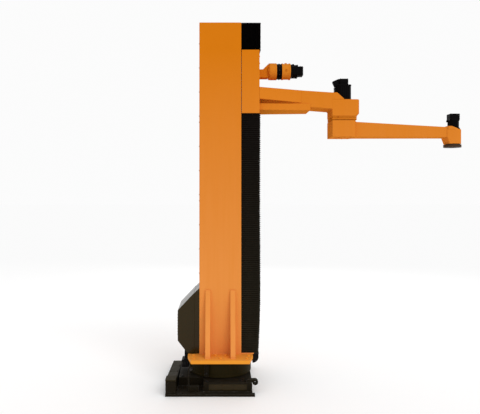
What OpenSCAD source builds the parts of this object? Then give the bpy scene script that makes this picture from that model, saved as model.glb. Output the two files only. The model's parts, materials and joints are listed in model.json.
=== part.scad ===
// Column palletizing robot: a slewing column, a carriage that climbs it, and a two-link arm.
// Millimetres. +Z up, +X towards the arm, origin on the floor under the slewing axis.

/* [Base] */
// Thickness of the steel plate on the floor
ground_t = 20; // [12:1:40]
// From the slewing axis to the plate's rear edge
ground_rear = 452; // [440:1:600]
// From the slewing axis to the plate's front edge
ground_front = 284; // [282:1:500]
// How far the plate's front edge steps back between its two front corners
ground_step = 18; // [5:1:20]
// Width of each of those corners, side to side
ground_corner = 40; // [35:1:60]
// Half the depth of the plate, side to side
ground_half_d = 425; // [410:1:600]
// Height of the welded base frame above the plate
frame_h = 75; // [50:1:200]
// From the slewing axis to the frame's rear face
frame_rear = 354; // [300:1:354]
// From the slewing axis to the frame's front face
frame_front = 264; // [215:1:270]
// Half the depth of the frame
frame_half_d = 370; // [320:1:370]
// Wall thickness of the frame
frame_wall = 12; // [6:1:20]
// Depth of the open bay in the frame's rear corner
bay_d = 140; // [80:1:150]
// From the slewing axis to the bay's front wall
bay_edge = 141; // [120:1:200]
// Diameter of the anchor holes
anchor_d = 18; // [14:1:22]
// Distance between anchor holes, rear to front
anchor_pitch_x = 520; // [480:1:540]
// From the slewing axis back to the middle of the anchor holes
anchor_back = 50; // [40:1:60]
// From the plate's side edge to the anchor holes
anchor_edge = 23; // [18:1:28]
// Width of the connection block at the rear corner
block_w = 88; // [50:1:90]
// Depth of the connection block
block_d = 115; // [80:1:160]
// Height of the connection block above the plate, with its cap
block_h = 116; // [80:1:125]
// Thickness of the connection block's cap
block_cap_t = 10; // [5:1:20]
// Height of the low end of the sloping cable duct
duct_low_h = 16; // [4:1:40]
// How far the high end of the duct stays below the block's cap
duct_step = 10; // [0:1:30]
// Height of the switch post above the plate
post_h = 201; // [120:1:210]
// Thickness of the switch post
post_t = 10; // [6:1:20]
// Width of the switch post and its foot, side to side
post_w = 40; // [25:1:60]
// Length of the switch post's foot
post_foot_l = 90; // [50:1:110]
// Height of the switch post's foot
post_foot_h = 45; // [20:1:60]
// From the frame's rear face to the switch post
post_back = 86; // [60:1:100]
// How far each lifting lug reaches in front of the frame
lug_l = 50; // [50:1:80]
// Length of each lug's seat on top of the frame
lug_seat = 50; // [30:1:80]
// Diameter of each lug's round eye
lug_w = 48; // [40:1:50]
// Height of the eye's middle above the frame
lug_rise = 0; // [0:1:20]
// From the frame's side to each lug
lug_inset = 14; // [5:1:60]
// Thickness of each lifting lug
lug_t = 40; // [30:1:50]
// Diameter of the hole in each lifting lug
lug_hole_d = 16; // [12:1:24]

/* [Slewing] */
// Outer radius of the dark skirt round the slewing ring
skirt_r = 272; // [240:1:276]
// Wall thickness of the skirt
skirt_wall = 5; // [3:1:10]
// Gap between the skirt and the base frame
skirt_gap = 6; // [5:1:15]
// Height from the base frame to the underside of the column's plate
slew_h = 158; // [120:1:220]
// Width of the stop dog that bolts to the skirt
dog_w = 34; // [20:1:60]
// From the middle of the column back to the stop dog's front edge
dog_back = 100; // [60:1:140]
// How far the stop dog stands out of the skirt
dog_out = 14; // [8:1:25]
// Height of the stop dog above the base frame
dog_rise = 20; // [10:1:60]
// Outer radius of the slewing ring
ring_r = 205; // [160:1:230]
// Radius of the hole through the slewing ring
ring_bore_r = 120; // [60:1:140]
// Height of the upper, turning half of the slewing ring
turntable_h = 50; // [30:1:70]
// Play between the two halves of the slewing ring
ring_play = 0.3; // [0.2:0.1:1]

/* [Column] */
// Width of the column, rear to front
column_w = 360; // [300:1:420]
// Depth of the column, side to side
column_d = 400; // [340:1:440]
// Wall thickness of the column
column_wall = 8; // [6:1:16]
// Height of the whole robot, floor to column cap
robot_h = 3130; // [2900:10:3600]
// Thickness of the cap on the column
cap_t = 10; // [6:1:20]
// Thickness of the column's foot plate
plate_t = 30; // [20:1:45]
// Half the width of the foot plate, rear to front
plate_half_w = 277; // [265:1:330]
// Half the depth of the foot plate, side to side
plate_half_d = 384; // [370:1:450]
// Width of the foot plate's cut corners, rear to front
plate_cut = 34; // [10:1:80]
// Length of the foot plate's cut corners, side to side
plate_cut_d = 150; // [10:1:160]
// Distance of each rib from the middle of the column's side
rib_x = 106; // [80:1:130]
// Width of a rib
rib_w = 42; // [20:1:60]
// Height of a rib
rib_h = 550; // [300:1:700]
// How far a rib's foot stands out
rib_out = 137; // [80:1:150]
// Height of a rib's blunt foot
rib_foot = 25; // [10:1:60]
// Width of a rib's blunt top
rib_top = 12; // [6:1:30]
// Distance from the middle of the column to each guide rail
rail_y = 120; // [90:1:130]
// Width of a guide rail
rail_w = 34; // [24:1:45]
// Height of a guide rail off the column
rail_h = 28; // [20:1:32]
// Depth of the bellows in front of the column
bellows_x = 169; // [140:1:200]
// Wall thickness of the bellows
bellows_wall = 4; // [3:1:8]
// How far the bellows stays in from the column's side
bellows_inset = 6; // [2:1:15]
// Thickness of the flange under the lower bellows
foot_t = 10; // [6:1:16]
// Height of the curved guard's straight part below the flange
guard_drop = 36; // [10:1:40]
// Thickness of the guard's sheet
guard_t = 6; // [3:1:8]
// How far the guard stays in from each side of the bellows
guard_inset = 40; // [20:1:80]
// How far the guard and the flange stand back from the bellows' front
guard_back = 18; // [0:1:20]
// Gap between the foot plate and the guard
guard_gap = 2; // [1:1:10]

/* [Slewing drive] */
// How far the drive cover stands behind the column
cover_x = 186; // [150:1:200]
// Depth of the drive cover, side to side
cover_d = 390; // [300:2:390]
// Height of the drive cover
cover_h = 568; // [450:1:620]
// Height of the slope at the cover's top
cover_slope = 197; // [80:1:200]
// Height of the slope at the cover's foot
cover_undercut = 109; // [60:1:120]
// Length of the cover's flat underside
cover_foot = 100; // [60:1:130]
// Gap between the cover and the foot plate
cover_gap = 4; // [2:1:10]
// Wall thickness of the drive cover
cover_wall = 4; // [3:1:8]
// Height of the slewing gear unit's lower block, and its distance below the foot plate
slew_gear_h = 62; // [40:1:70]
// From the slewing axis to the gear unit's rear face
slew_gear_rear = 340; // [300:1:345]
// Depth of the gear unit's block, side to side
slew_gear_d = 120; // [80:1:180]
// From the slewing axis to the rear face of the gear unit's neck
slew_neck_rear = 316; // [295:1:320]
// Depth of the gear unit's neck, side to side
slew_neck_d = 92; // [60:1:120]

/* [Carriage] */
// Height of the carriage
carriage_h = 543; // [450:1:600]
// Height of the carriage's underside at rest
carriage_z = 2350; // [2200:10:2350]
// From the column's face to the carriage's front
carriage_x = 157; // [130:1:158]
// Gap between the column and the carriage
carriage_gap = 6; // [5:1:10]
// Gap between the rails and the carriage's back plate
carriage_clear = 20; // [12:1:30]
// Wall thickness of the carriage
carriage_wall = 12; // [8:1:20]
// Length of a bearing block
bearing_l = 110; // [80:1:160]
// Width of a bearing block
bearing_w = 70; // [60:1:90]
// Gap between a bearing block and the column
bearing_gap = 6; // [5:1:12]
// From each end of the carriage to its bearing blocks
bearing_inset = 30; // [10:1:80]
// Running play between a bearing block and its rail
rail_play = 0.3; // [0.2:0.1:1]

/* [Lifting drive] */
// Height of the drive's axis above the carriage's underside
lift_z = 395; // [380:1:420]
// Diameter of the orange bell housing
bell_d = 148; // [120:1:160]
// Length of the bracket between the carriage and the bell
bracket_l = 87; // [60:1:120]
// Width of the bracket, side to side
bracket_w = 84; // [50:1:110]
// Height of the bracket's level part above the drive's axis
bracket_rise = 14; // [5:1:40]
// Length of the bracket's level part
bracket_flat = 40; // [20:1:50]
// Length of the bell housing
bell_l = 75; // [50:1:100]
// Size of the chamfer at the bell's back
bell_chamfer = 14; // [5:1:25]
// Diameter of the black gear unit
gear_d = 137; // [110:1:150]
// Length of the black gear unit
gear_l = 47; // [30:1:70]
// Diameter of the orange adapter
adapter_d = 146; // [120:1:160]
// Length of the orange adapter
adapter_l = 75; // [50:1:100]
// Side of the lifting motor's square frame
lift_motor_w = 110; // [100:1:140]
// Length of the lifting motor
lift_motor_l = 66; // [50:1:120]
// Side of the lifting motor's encoder
lift_encoder_w = 84; // [60:1:95]
// Length of the lifting motor's encoder
lift_encoder_l = 49; // [30:1:70]

/* [Upper arm] */
// From the slewing axis to the elbow axis
elbow_x = 1097; // [1060:1:1300]
// Width of the upper arm's beam, side to side
beam_w = 240; // [160:1:240]
// Wall thickness of both arms' beams
arm_wall = 8; // [5:1:12]
// Height of the beam's top at the carriage, above the carriage's underside
beam_root_top = 241; // [220:1:260]
// Height of the beam's top at the knee, above the carriage's underside
beam_knee_top = 209; // [202:1:219]
// Height of the beam's top at the elbow, above the carriage's underside
beam_end_top = 191; // [180:1:199]
// Height of the beam's underside, above the carriage's underside
beam_bottom = 62; // [50:1:70]
// Height of the beam's underside at the elbow, above the carriage's underside
beam_end_bottom = 48; // [25:1:60]
// Length of the level part of the beam's underside
beam_level_l = 463; // [300:1:600]
// Length of the steep part of the beam's top
knee_l = 374; // [300:1:400]
// Length of the stiffener under the beam
stiffener_l = 446; // [300:1:460]
// Height of the stiffener below the beam
stiffener_h = 27; // [20:1:45]
// How far the stiffener's sides rise beside the beam
stiffener_rise = 28; // [10:1:30]
// How far the stiffener's sides stand out from the beam at the carriage
stiffener_root_out = 40; // [10:1:60]
// How far the stiffener's sides stand out from the beam at its end
stiffener_tip_out = 4; // [3:1:20]
// How far each side wing stands out at the carriage
wing_out = 78; // [30:1:79]
// How far each side wing stands out at its tip
wing_tip_out = 3; // [2:1:10]
// Length of each side wing
wing_l = 365; // [250:1:374]
// Height of a wing's underside at the carriage, above the carriage's underside
wing_root_bottom = 126; // [110:1:160]
// Height of a wing's underside at its tip, above the carriage's underside
wing_tip_bottom = 102; // [90:1:130]
// Height of a wing's top at the carriage, above the carriage's underside
wing_root_top = 222; // [190:1:225]
// Height of a wing's top at its tip, above the carriage's underside
wing_tip_top = 205; // [180:1:205]

/* [Elbow] */
// Half the side of the square elbow housing
elbow_half = 120; // [110:1:130]
// Height of the elbow housing
elbow_h = 145; // [130:1:170]
// Height of the elbow deck, above the carriage's underside
deck_z = 132; // [115:1:140]
// Length of the cheeks beside the elbow motor
cheek_l = 103; // [90:1:190]
// Length of the cheeks' level part
cheek_flat = 43; // [10:1:60]
// How far the cheeks' level part stays below the beam's top
cheek_step = 0; // [0:1:15]
// Height of the cheeks' low end above the deck
cheek_low = 4; // [2:1:20]
// Thickness of the cheeks
cheek_t = 12; // [8:1:16]
// Wall thickness of the elbow, root and wrist housings
housing_wall = 12; // [8:1:16]
// Radius of the housings' round corners
corner_r = 36; // [20:1:50]
// How far the elbow bearing's sides stand inside the housing's
collar_inset = 7; // [3:1:20]
// How far the elbow bearing's front stands behind the housing's
collar_back = 20; // [5:1:40]
// From the housing's rear face to the collar's rear face
collar_rear = 1; // [0:1:20]
// Height of the elbow bearing
elbow_ring_h = 32; // [15:1:40]
// Gap between the elbow bearing and the forearm
elbow_gap = 5; // [5:1:10]
// Radius of the elbow shaft
elbow_shaft_r = 45; // [30:1:55]
// Depth of the bearing space in the elbow housing
elbow_bore_depth = 115; // [60:1:118]
// Radius of the bearing space in the elbow housing
elbow_bore_r = 85; // [65:1:88]
// How far the shafts reach into their housings
shaft_l = 30; // [20:1:35]
// Running play of the shafts in their bearings
shaft_play = 0.05; // [0.03:0.01:0.1]
// Side of the elbow motor's square frame
elbow_motor_w = 124; // [100:1:140]
// Length of the elbow motor
elbow_motor_l = 140; // [110:1:180]
// How far the elbow motor's terminal box stands out
terminal_out = 18; // [8:1:25]
// Width of the elbow motor's terminal box
terminal_w = 50; // [30:1:80]
// Side of the elbow motor's encoder
elbow_encoder_w = 78; // [70:1:105]
// Length of the elbow motor's encoder
elbow_encoder_l = 58; // [45:1:70]
// How far the encoder's connector stands out
connector_l = 57; // [20:1:60]
// Width of the encoder's connector
connector_w = 32; // [20:1:40]
// Height of the encoder's connector
connector_h = 28; // [16:1:30]
// Height of the connector above the encoder's underside
connector_rise = 14; // [5:1:15]

/* [Forearm] */
// From the elbow axis to the wrist axis
forearm_l = 974; // [800:1:1100]
// Height of the forearm's root block
root_h = 145; // [140:1:180]
// How far the root block reaches past the elbow axis, towards the wrist
root_front = 90; // [80:1:110]
// Width of the forearm's beam at the root
forearm_root_w = 176; // [140:1:200]
// Width of the forearm's beam at the wrist
forearm_tip_w = 136; // [110:1:150]
// Height of the forearm's beam at the root
forearm_root_h = 134; // [110:1:139]
// Height of the forearm's beam at the wrist
forearm_tip_h = 90; // [80:1:105]
// Half the width of the wrist housing
wrist_half = 72; // [66:1:95]
// How far the wrist housing hangs below the beam
wrist_drop = 56; // [40:1:80]
// How far the wrist housing's rear wall slopes in at its foot
wrist_lean = 22; // [5:1:25]
// How far the wrist cheeks' tops stand above the beam's end
wrist_rise = 9; // [2:1:15]
// How far the motor's deck lies below the wrist cheeks' tops
wrist_step = 27; // [15:1:40]
// Length of the wrist cheeks
wrist_cheek_l = 106; // [80:1:110]
// Length of the wrist cheeks' level part
wrist_cheek_flat = 41; // [10:1:60]
// Thickness of the wrist cheeks
wrist_cheek_t = 10; // [6:1:12]
// Height of the motor's pad above the wrist deck
pad_h = 2; // [2:1:10]
// How far the motor's pad stands out round the motor
pad_margin = 4; // [2:1:8]
// Side of the wrist motor's square frame
wrist_motor_w = 90; // [70:1:100]
// Length of the wrist motor
wrist_motor_l = 86; // [60:1:120]
// Side of the wrist motor's encoder
wrist_encoder_w = 88; // [70:1:100]
// Length of the wrist motor's encoder
wrist_encoder_l = 54; // [30:1:60]
// How far the wrist motor sits in front of the wrist axis
wrist_motor_out = 8; // [0:1:10]

/* [Tool flange] */
// Diameter of the tool flange
flange_d = 152; // [150:1:180]
// Thickness of the tool flange
flange_t = 24; // [16:1:35]
// Gap between the wrist housing and the tool flange
flange_gap = 6; // [5:1:10]
// Diameter of the circle of tool bolts
tool_pcd = 125; // [110:1:130]
// Number of tool bolts
tool_bolts = 6; // [4:1:8]
// Diameter of the tool bolt holes
tool_hole_d = 11; // [8:1:12]
// Diameter of the centring bore
pilot_d = 63; // [50:1:75]
// Depth of the centring bore
pilot_depth = 8; // [5:1:12]
// Radius of the wrist shaft
wrist_shaft_r = 30; // [20:1:38]

/* [Hidden] */
frame_top = ground_t + frame_h;
plate_z = frame_top + slew_h;
column_z = plate_z + plate_t;
column_h = robot_h - cap_t - column_z;
column_front = column_w / 2;
bellows_half_d = column_d / 2 - bellows_inset;
bellows_front = column_front + bellows_x;
bellows_z = column_z + foot_t;
carriage_top = carriage_z + carriage_h;
carriage_front = column_front + carriage_x;
carriage_back = column_front + carriage_gap;
carriage_inside = column_front + rail_h + carriage_clear;
rail_end = 5;
rail_z = bellows_z + rail_end;
rail_l = robot_h - cap_t - rail_end - rail_z;
lift_axis_z = carriage_z + lift_z;
bell_x = carriage_front + bracket_l;
gear_x = bell_x + bell_l;
adapter_x = gear_x + gear_l;
lift_motor_x = adapter_x + adapter_l;
lift_encoder_x = lift_motor_x + lift_motor_l;
elbow_left = elbow_x - elbow_half;
elbow_right = elbow_x + elbow_half;
deck_top = carriage_z + deck_z;
elbow_bottom = deck_top - elbow_h;
ring_bottom = elbow_bottom - elbow_ring_h;
root_top = ring_bottom - elbow_gap;
root_bottom = root_top - root_h;
root_right = elbow_x + root_front;
wrist_x = elbow_x + forearm_l;
wrist_left = wrist_x - wrist_half;
wrist_top_z = root_bottom + forearm_tip_h + wrist_rise;
wrist_deck_z = wrist_top_z - wrist_step;
wrist_bottom = root_bottom - wrist_drop;
flange_top = wrist_bottom - flange_gap;
flange_z = flange_top - flange_t;
pad_z = wrist_deck_z + pad_h;
cover_edge = column_w / 2 + cover_foot;
guard_front = bellows_front - guard_back;
guard_r = guard_front - plate_half_w - guard_gap;
guard_w = 2 * (bellows_half_d - guard_inset);
block_x = -ground_rear;
anchor_y = ground_half_d - anchor_edge;
// How far a cutting shape reaches past what it cuts.
cut = 1;
dog_seat = 0.2;
sleeve_gap = 1;

orange = [0.82, 0.42, 0.09];
dark_steel = [0.14, 0.12, 0.08];
black = [0.03, 0.03, 0.04];
rubber_black = [0.05, 0.05, 0.05];
bright_steel = [0.62, 0.62, 0.64];
olive = [0.21, 0.18, 0.10];

// An upright plate or block between two corners.
module block_between(low, high) {
  translate(low) cube(high - low);
}

// A copy on each side of the X-Z plane.
module both_sides() {
  children();
  mirror([0, 1, 0]) children();
}

// A side profile in X and Z, given a depth centred on the X-Z plane.
module side_profile(points, depth) {
  translate([0, depth / 2, 0]) rotate([90, 0, 0]) linear_extrude(depth) polygon(points);
}

// A plan outline, raised from z by h.
module plan(z, h) {
  translate([0, 0, z]) linear_extrude(h) children();
}

// A rectangle in plan whose two front corners are round.
module rounded_front(left, right, half, r) {
  difference() {
    translate([left, -half]) square([right - left, 2 * half]);
    for (side = [-1, 1]) {
      difference() {
        translate([right - r, side > 0 ? half - r : -half - cut]) square([r + cut, r + cut]);
        translate([right - r, side * (half - r)]) circle(r, $fn = 48);
      }
    }
  }
}

// A square motor body with chamfered edges, standing on z, its axis along Z.
module motor_body(w, l) {
  chamfer = w * 0.1;
  a = w / 2;
  b = a - chamfer;
  linear_extrude(l) polygon([[a, b], [b, a], [-b, a], [-a, b], [-a, -b], [-b, -a], [b, -a], [a, -b]]);
}

// ---- base ----

// The plate's front edge is set back between its two corners.
module ground_plate() color(dark_steel) difference() {
  block_between([-ground_rear, -ground_half_d, 0], [ground_front, ground_half_d, ground_t]);
  y = ground_half_d - ground_corner;
  block_between([ground_front - ground_step, -y, -cut], [ground_front + cut, y, ground_t + cut]);
  for (x = [-1, 1], y = [-1, 1]) {
    translate([x * anchor_pitch_x / 2 - anchor_back, y * anchor_y, -cut])
      cylinder(h = ground_t + 2 * cut, d = anchor_d, $fn = 32);
  }
}

module frame_outline(inset) {
  bay_y = -frame_half_d + bay_d;
  polygon([
    [-frame_rear + inset, bay_y + inset],
    [-bay_edge + inset, bay_y + inset],
    [-bay_edge + inset, -frame_half_d + inset],
    [frame_front - inset, -frame_half_d + inset],
    [frame_front - inset, frame_half_d - inset],
    [-frame_rear + inset, frame_half_d - inset]
  ]);
}

module base_frame() color(dark_steel) difference() {
  plan(ground_t, frame_h) frame_outline(0);
  plan(ground_t - cut, frame_h - frame_wall + cut) frame_outline(frame_wall);
}

module connection_block() color(dark_steel)
  block_between([block_x, -ground_half_d, ground_t],
    [block_x + block_w, -ground_half_d + block_d, ground_t + block_h - block_cap_t]);

module block_cap() color(olive)
  block_between([block_x, -ground_half_d, ground_t + block_h - block_cap_t],
    [block_x + block_w, -ground_half_d + block_d, ground_t + block_h]);

// The duct's top slopes from the block down to the plate's far edge.
module cable_duct() color(dark_steel) {
  y0 = -ground_half_d + block_d;
  high = block_h - block_cap_t - duct_step;
  translate([block_x, 0, 0]) rotate([90, 0, 90]) linear_extrude(block_w)
    polygon([[y0, ground_t], [ground_half_d, ground_t], [ground_half_d, ground_t + duct_low_h],
      [y0, ground_t + high]]);
}

module switch_post() color(dark_steel) {
  left = -frame_rear + post_back;
  y0 = -frame_half_d;
  block_between([left, y0, ground_t], [left + post_foot_l, y0 + post_w, ground_t + post_foot_h]);
  block_between([left, y0, ground_t], [left + post_t, y0 + post_w, ground_t + post_h]);
}

// Each lug is a plate that stands on the frame and carries its eye in front of it.
module lifting_lugs() color(dark_steel) both_sides()
  translate([frame_front, -frame_half_d + lug_inset + lug_t, frame_top]) rotate([90, 0, 0])
    linear_extrude(lug_t) difference() {
      eye_x = lug_l - lug_w / 2;
      union() {
        translate([-lug_seat, 0]) square([lug_seat + eye_x, lug_w / 2 + lug_rise]);
        translate([eye_x, lug_rise]) circle(d = lug_w, $fn = 48);
      }
      translate([eye_x, lug_rise]) circle(d = lug_hole_d, $fn = 32);
    }

// A plain steel ring from z up to z + h.
module steel_ring(z, h, outer_r, inner_r) {
  translate([0, 0, z]) difference() {
    cylinder(h = h, r = outer_r, $fn = 96);
    translate([0, 0, -cut]) cylinder(h = h + 2 * cut, r = inner_r, $fn = 96);
  }
}

module slew_ring() color(bright_steel)
  steel_ring(frame_top, slew_h - turntable_h - ring_play, ring_r, ring_bore_r);

// ---- column ----

module turntable() color(bright_steel)
  steel_ring(plate_z - turntable_h, turntable_h, ring_r, ring_bore_r);

module slew_skirt() color(dark_steel)
  steel_ring(frame_top + skirt_gap, slew_h - skirt_gap, skirt_r, skirt_r - skirt_wall);

// The stop dog's back is hollowed to the skirt's curve.
module stop_dog() color(dark_steel) difference() {
  reach = sqrt(pow(skirt_r, 2) - pow(dog_back + dog_w, 2));
  block_between([-dog_back - dog_w, -skirt_r - dog_out, frame_top + dog_rise], [-dog_back, -reach, plate_z]);
  translate([0, 0, frame_top]) cylinder(h = slew_h + cut, r = skirt_r + dog_seat, $fn = 96);
}

module foot_plate() color(orange) plan(plate_z, plate_t) {
  w = plate_half_w;
  d = plate_half_d;
  c = plate_cut;
  e = plate_cut_d;
  polygon([
    [w, d - e], [w - c, d], [c - w, d], [-w, d - e],
    [-w, e - d], [c - w, -d], [w - c, -d], [w, e - d]
  ]);
}

module column_ribs() color(orange) both_sides() for (x = [-rib_x, rib_x]) {
  translate([x - rib_w / 2, -column_d / 2, column_z]) rotate([90, 0, 90]) linear_extrude(rib_w)
    polygon([[0, 0], [0, rib_h], [-rib_top, rib_h], [-rib_out, rib_foot], [-rib_out, 0]]);
}

module column_box() color(orange) translate([0, 0, column_z]) linear_extrude(column_h) difference() {
  square([column_w, column_d], center = true);
  square([column_w - 2 * column_wall, column_d - 2 * column_wall], center = true);
}

module column_cap() color(orange)
  block_between([-column_w / 2, -column_d / 2, robot_h - cap_t], [column_w / 2, column_d / 2, robot_h]);

// The cover's side outline, drawn inwards by the wall where it is hollowed.
module cover_outline(inset) {
  back = -column_w / 2 - cover_x + inset;
  face = -column_w / 2;
  low = column_z + cover_gap + inset;
  high = column_z + cover_gap + cover_h - inset;
  polygon([
    [face, low], [face - cover_foot, low], [back, low + cover_undercut],
    [back, high - cover_slope], [face, high]
  ]);
}

module drive_cover() color(olive) difference() {
  translate([0, cover_d / 2, 0]) rotate([90, 0, 0]) linear_extrude(cover_d) cover_outline(0);
  translate([0, cover_d / 2 - cover_wall, 0]) rotate([90, 0, 0])
    linear_extrude(cover_d - 2 * cover_wall) cover_outline(cover_wall);
}

// The slewing gear unit hangs from the foot plate's rear edge. Its neck meets the cover's underside.
module slew_gear_unit() color(black) {
  low = plate_z - slew_gear_h;
  block_between([-slew_gear_rear, -slew_gear_d / 2, low - slew_gear_h],
    [-skirt_r - dog_seat, slew_gear_d / 2, low]);
  high = column_z + cover_gap;
  side_profile([
    [-slew_neck_rear, low],
    [-plate_half_w, low],
    [-plate_half_w, high],
    [-cover_edge, high],
    [-slew_neck_rear, high + (slew_neck_rear - cover_edge) * cover_undercut / (cover_x - cover_foot)]
  ], slew_neck_d);
}

module guide_rails() color(bright_steel) both_sides()
  block_between([column_front, rail_y - rail_w / 2, rail_z],
    [column_front + rail_h, rail_y + rail_w / 2, rail_z + rail_l]);

// The guard's side outline: a straight drop that curls back in a quarter circle.
module guard_outline(inset) {
  z = column_z - guard_drop;
  r = guard_r - inset;
  back = guard_front - guard_r;
  translate([back, z]) square([r, guard_drop]);
  translate([back, z]) intersection() {
    circle(r, $fn = 64);
    translate([0, -r]) square([r, r]);
  }
}

module bellows_foot() color(black) {
  block_between([column_front, -bellows_half_d, column_z], [guard_front, bellows_half_d, column_z + foot_t]);
  translate([0, guard_w / 2, 0]) rotate([90, 0, 0]) {
    linear_extrude(guard_w) difference() {
      guard_outline(0);
      guard_outline(guard_t);
    }
    for (y = [0, guard_w - guard_t]) translate([0, 0, y]) linear_extrude(guard_t) guard_outline(0);
  }
}

module bellows_head() color(black)
  block_between([column_front, -bellows_half_d, robot_h - cap_t], [bellows_front, bellows_half_d, robot_h]);

// A plain three-sided sleeve in front of the column, standing in for the folded bellows.
module bellows_sleeve(z0, z1) {
  back = column_front + sleeve_gap;
  difference() {
    block_between([back, -bellows_half_d, z0], [bellows_front, bellows_half_d, z1]);
    block_between([back - cut, -bellows_half_d + bellows_wall, z0 - cut],
      [bellows_front - bellows_wall, bellows_half_d - bellows_wall, z1 + cut]);
  }
}

module lower_bellows() color(rubber_black) bellows_sleeve(bellows_z, carriage_z);
module upper_bellows() color(rubber_black) bellows_sleeve(carriage_top, robot_h - cap_t);

// ---- carriage and upper arm ----

module carriage_box() color(orange) difference() {
  block_between([carriage_inside, -column_d / 2, carriage_z], [carriage_front, column_d / 2, carriage_top]);
  block_between([carriage_inside + carriage_wall, -column_d / 2 + carriage_wall, carriage_z + carriage_wall],
    [carriage_front - carriage_wall, column_d / 2 - carriage_wall, carriage_top - carriage_wall]);
}

module carriage_cheeks() color(orange) both_sides()
  block_between([carriage_back, column_d / 2 - carriage_wall, carriage_z],
    [carriage_inside, column_d / 2, carriage_top]);

module bearing_blocks() color(bright_steel) both_sides()
  for (z = [carriage_z + bearing_inset, carriage_top - bearing_inset - bearing_l]) difference() {
    block_between([column_front + bearing_gap, rail_y - bearing_w / 2, z],
      [carriage_inside, rail_y + bearing_w / 2, z + bearing_l]);
    block_between([column_front, rail_y - rail_w / 2 - rail_play, z - cut],
      [column_front + rail_h + rail_play, rail_y + rail_w / 2 + rail_play, z + bearing_l + cut]);
  }

module beam_outline(inset) {
  x0 = carriage_front - (inset > 0 ? cut : 0);
  x1 = elbow_left + (inset > 0 ? cut : 0);
  z0 = carriage_z;
  polygon([
    [x0, z0 + beam_bottom + inset],
    [carriage_front + beam_level_l, z0 + beam_bottom + inset],
    [x1, z0 + beam_end_bottom + inset],
    [x1, z0 + beam_end_top - inset],
    [carriage_front + knee_l, z0 + beam_knee_top - inset],
    [x0, z0 + beam_root_top - inset]
  ]);
}

module upper_arm_beam() color(orange) difference() {
  translate([0, beam_w / 2, 0]) rotate([90, 0, 0]) linear_extrude(beam_w) beam_outline(0);
  translate([0, beam_w / 2 - arm_wall, 0]) rotate([90, 0, 0]) linear_extrude(beam_w - 2 * arm_wall)
    beam_outline(arm_wall);
}

// The stiffener's plan: wide at the carriage, nearly as narrow as the beam at its end.
module stiffener_plan(inset) {
  root = beam_w / 2 + stiffener_root_out - inset;
  tip = beam_w / 2 + stiffener_tip_out - inset;
  end = carriage_front + stiffener_l - inset;
  polygon([[carriage_front, -root], [end, -tip], [end, tip], [carriage_front, root]]);
}

// A tray under the beam, whose sides rise beside it.
module arm_stiffener() color(orange) difference() {
  top = carriage_z + beam_bottom;
  low = top - stiffener_h;
  plan(low, stiffener_h + stiffener_rise) stiffener_plan(0);
  plan(low + arm_wall, stiffener_h - arm_wall + cut) stiffener_plan(2 * arm_wall);
  block_between([carriage_front - cut, -beam_w / 2, top],
    [carriage_front + stiffener_l + cut, beam_w / 2, top + stiffener_rise + cut]);
}

// Each wing is a wedge beside the beam: wide at the carriage, gone at its tip.
module arm_wings() color(orange) both_sides() intersection() {
  plan(carriage_z, beam_root_top) polygon([
    [carriage_front, beam_w / 2],
    [carriage_front, beam_w / 2 + wing_out],
    [carriage_front + wing_l, beam_w / 2 + wing_tip_out],
    [carriage_front + wing_l, beam_w / 2]
  ]);
  side_profile([
    [carriage_front, carriage_z + wing_root_bottom],
    [carriage_front + wing_l, carriage_z + wing_tip_bottom],
    [carriage_front + wing_l, carriage_z + wing_tip_top],
    [carriage_front, carriage_z + wing_root_top]
  ], 2 * column_d);
}

module elbow_housing() color(orange) difference() {
  plan(elbow_bottom, elbow_h) rounded_front(elbow_left, elbow_right, elbow_half, corner_r);
  translate([elbow_x, 0, elbow_bottom - cut])
    cylinder(h = elbow_bore_depth + cut, r = elbow_bore_r, $fn = 64);
}

module elbow_cheeks() color(orange) both_sides()
  translate([0, elbow_half, 0]) rotate([90, 0, 0]) linear_extrude(cheek_t)
    polygon([
      [elbow_left, deck_top],
      [elbow_left + cheek_l, deck_top],
      [elbow_left + cheek_l, deck_top + cheek_low],
      [elbow_left + cheek_flat, carriage_z + beam_end_top - cheek_step],
      [elbow_left, carriage_z + beam_end_top - cheek_step]
    ]);

module elbow_bearing() color(orange) difference() {
  plan(ring_bottom, elbow_ring_h) rounded_front(elbow_left + collar_rear, elbow_right - collar_back,
    elbow_half - collar_inset, corner_r - collar_inset);
  translate([elbow_x, 0, ring_bottom - cut])
    cylinder(h = elbow_ring_h + 2 * cut, r = elbow_shaft_r + shaft_play, $fn = 64);
}

module elbow_motor() color(black) translate([elbow_x, 0, deck_top]) {
  motor_body(elbow_motor_w, elbow_motor_l);
  block_between([-elbow_motor_w / 2 - terminal_out, -terminal_w / 2, terminal_out],
    [0, terminal_w / 2, elbow_motor_l - terminal_out]);
}

module elbow_encoder() color(black) translate([elbow_x, 0, deck_top + elbow_motor_l]) {
  motor_body(elbow_encoder_w, elbow_encoder_l);
  block_between([-elbow_encoder_w / 2 - connector_l, -connector_w / 2, connector_rise],
    [0, connector_w / 2, connector_rise + connector_h]);
}

// ---- lifting drive ----

// The bracket is level near the carriage and rises to the bell's chamfered back.
module lift_bracket() color(orange) {
  reach = bell_d / 2 - bell_chamfer;
  side_profile([
    [carriage_front, lift_axis_z - reach],
    [bell_x, lift_axis_z - reach],
    [bell_x, lift_axis_z + reach],
    [carriage_front + bracket_flat, lift_axis_z + bracket_rise],
    [carriage_front, lift_axis_z + bracket_rise]
  ], bracket_w);
}

module lift_bell() color(orange) translate([bell_x, 0, lift_axis_z]) rotate([0, 90, 0]) {
  cylinder(h = bell_chamfer, d1 = bell_d - 2 * bell_chamfer, d2 = bell_d, $fn = 72);
  translate([0, 0, bell_chamfer]) cylinder(h = bell_l - bell_chamfer, d = bell_d, $fn = 72);
}

module lift_gear_unit() color(black) translate([gear_x, 0, lift_axis_z]) rotate([0, 90, 0])
  cylinder(h = gear_l, d = gear_d, $fn = 72);

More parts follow.
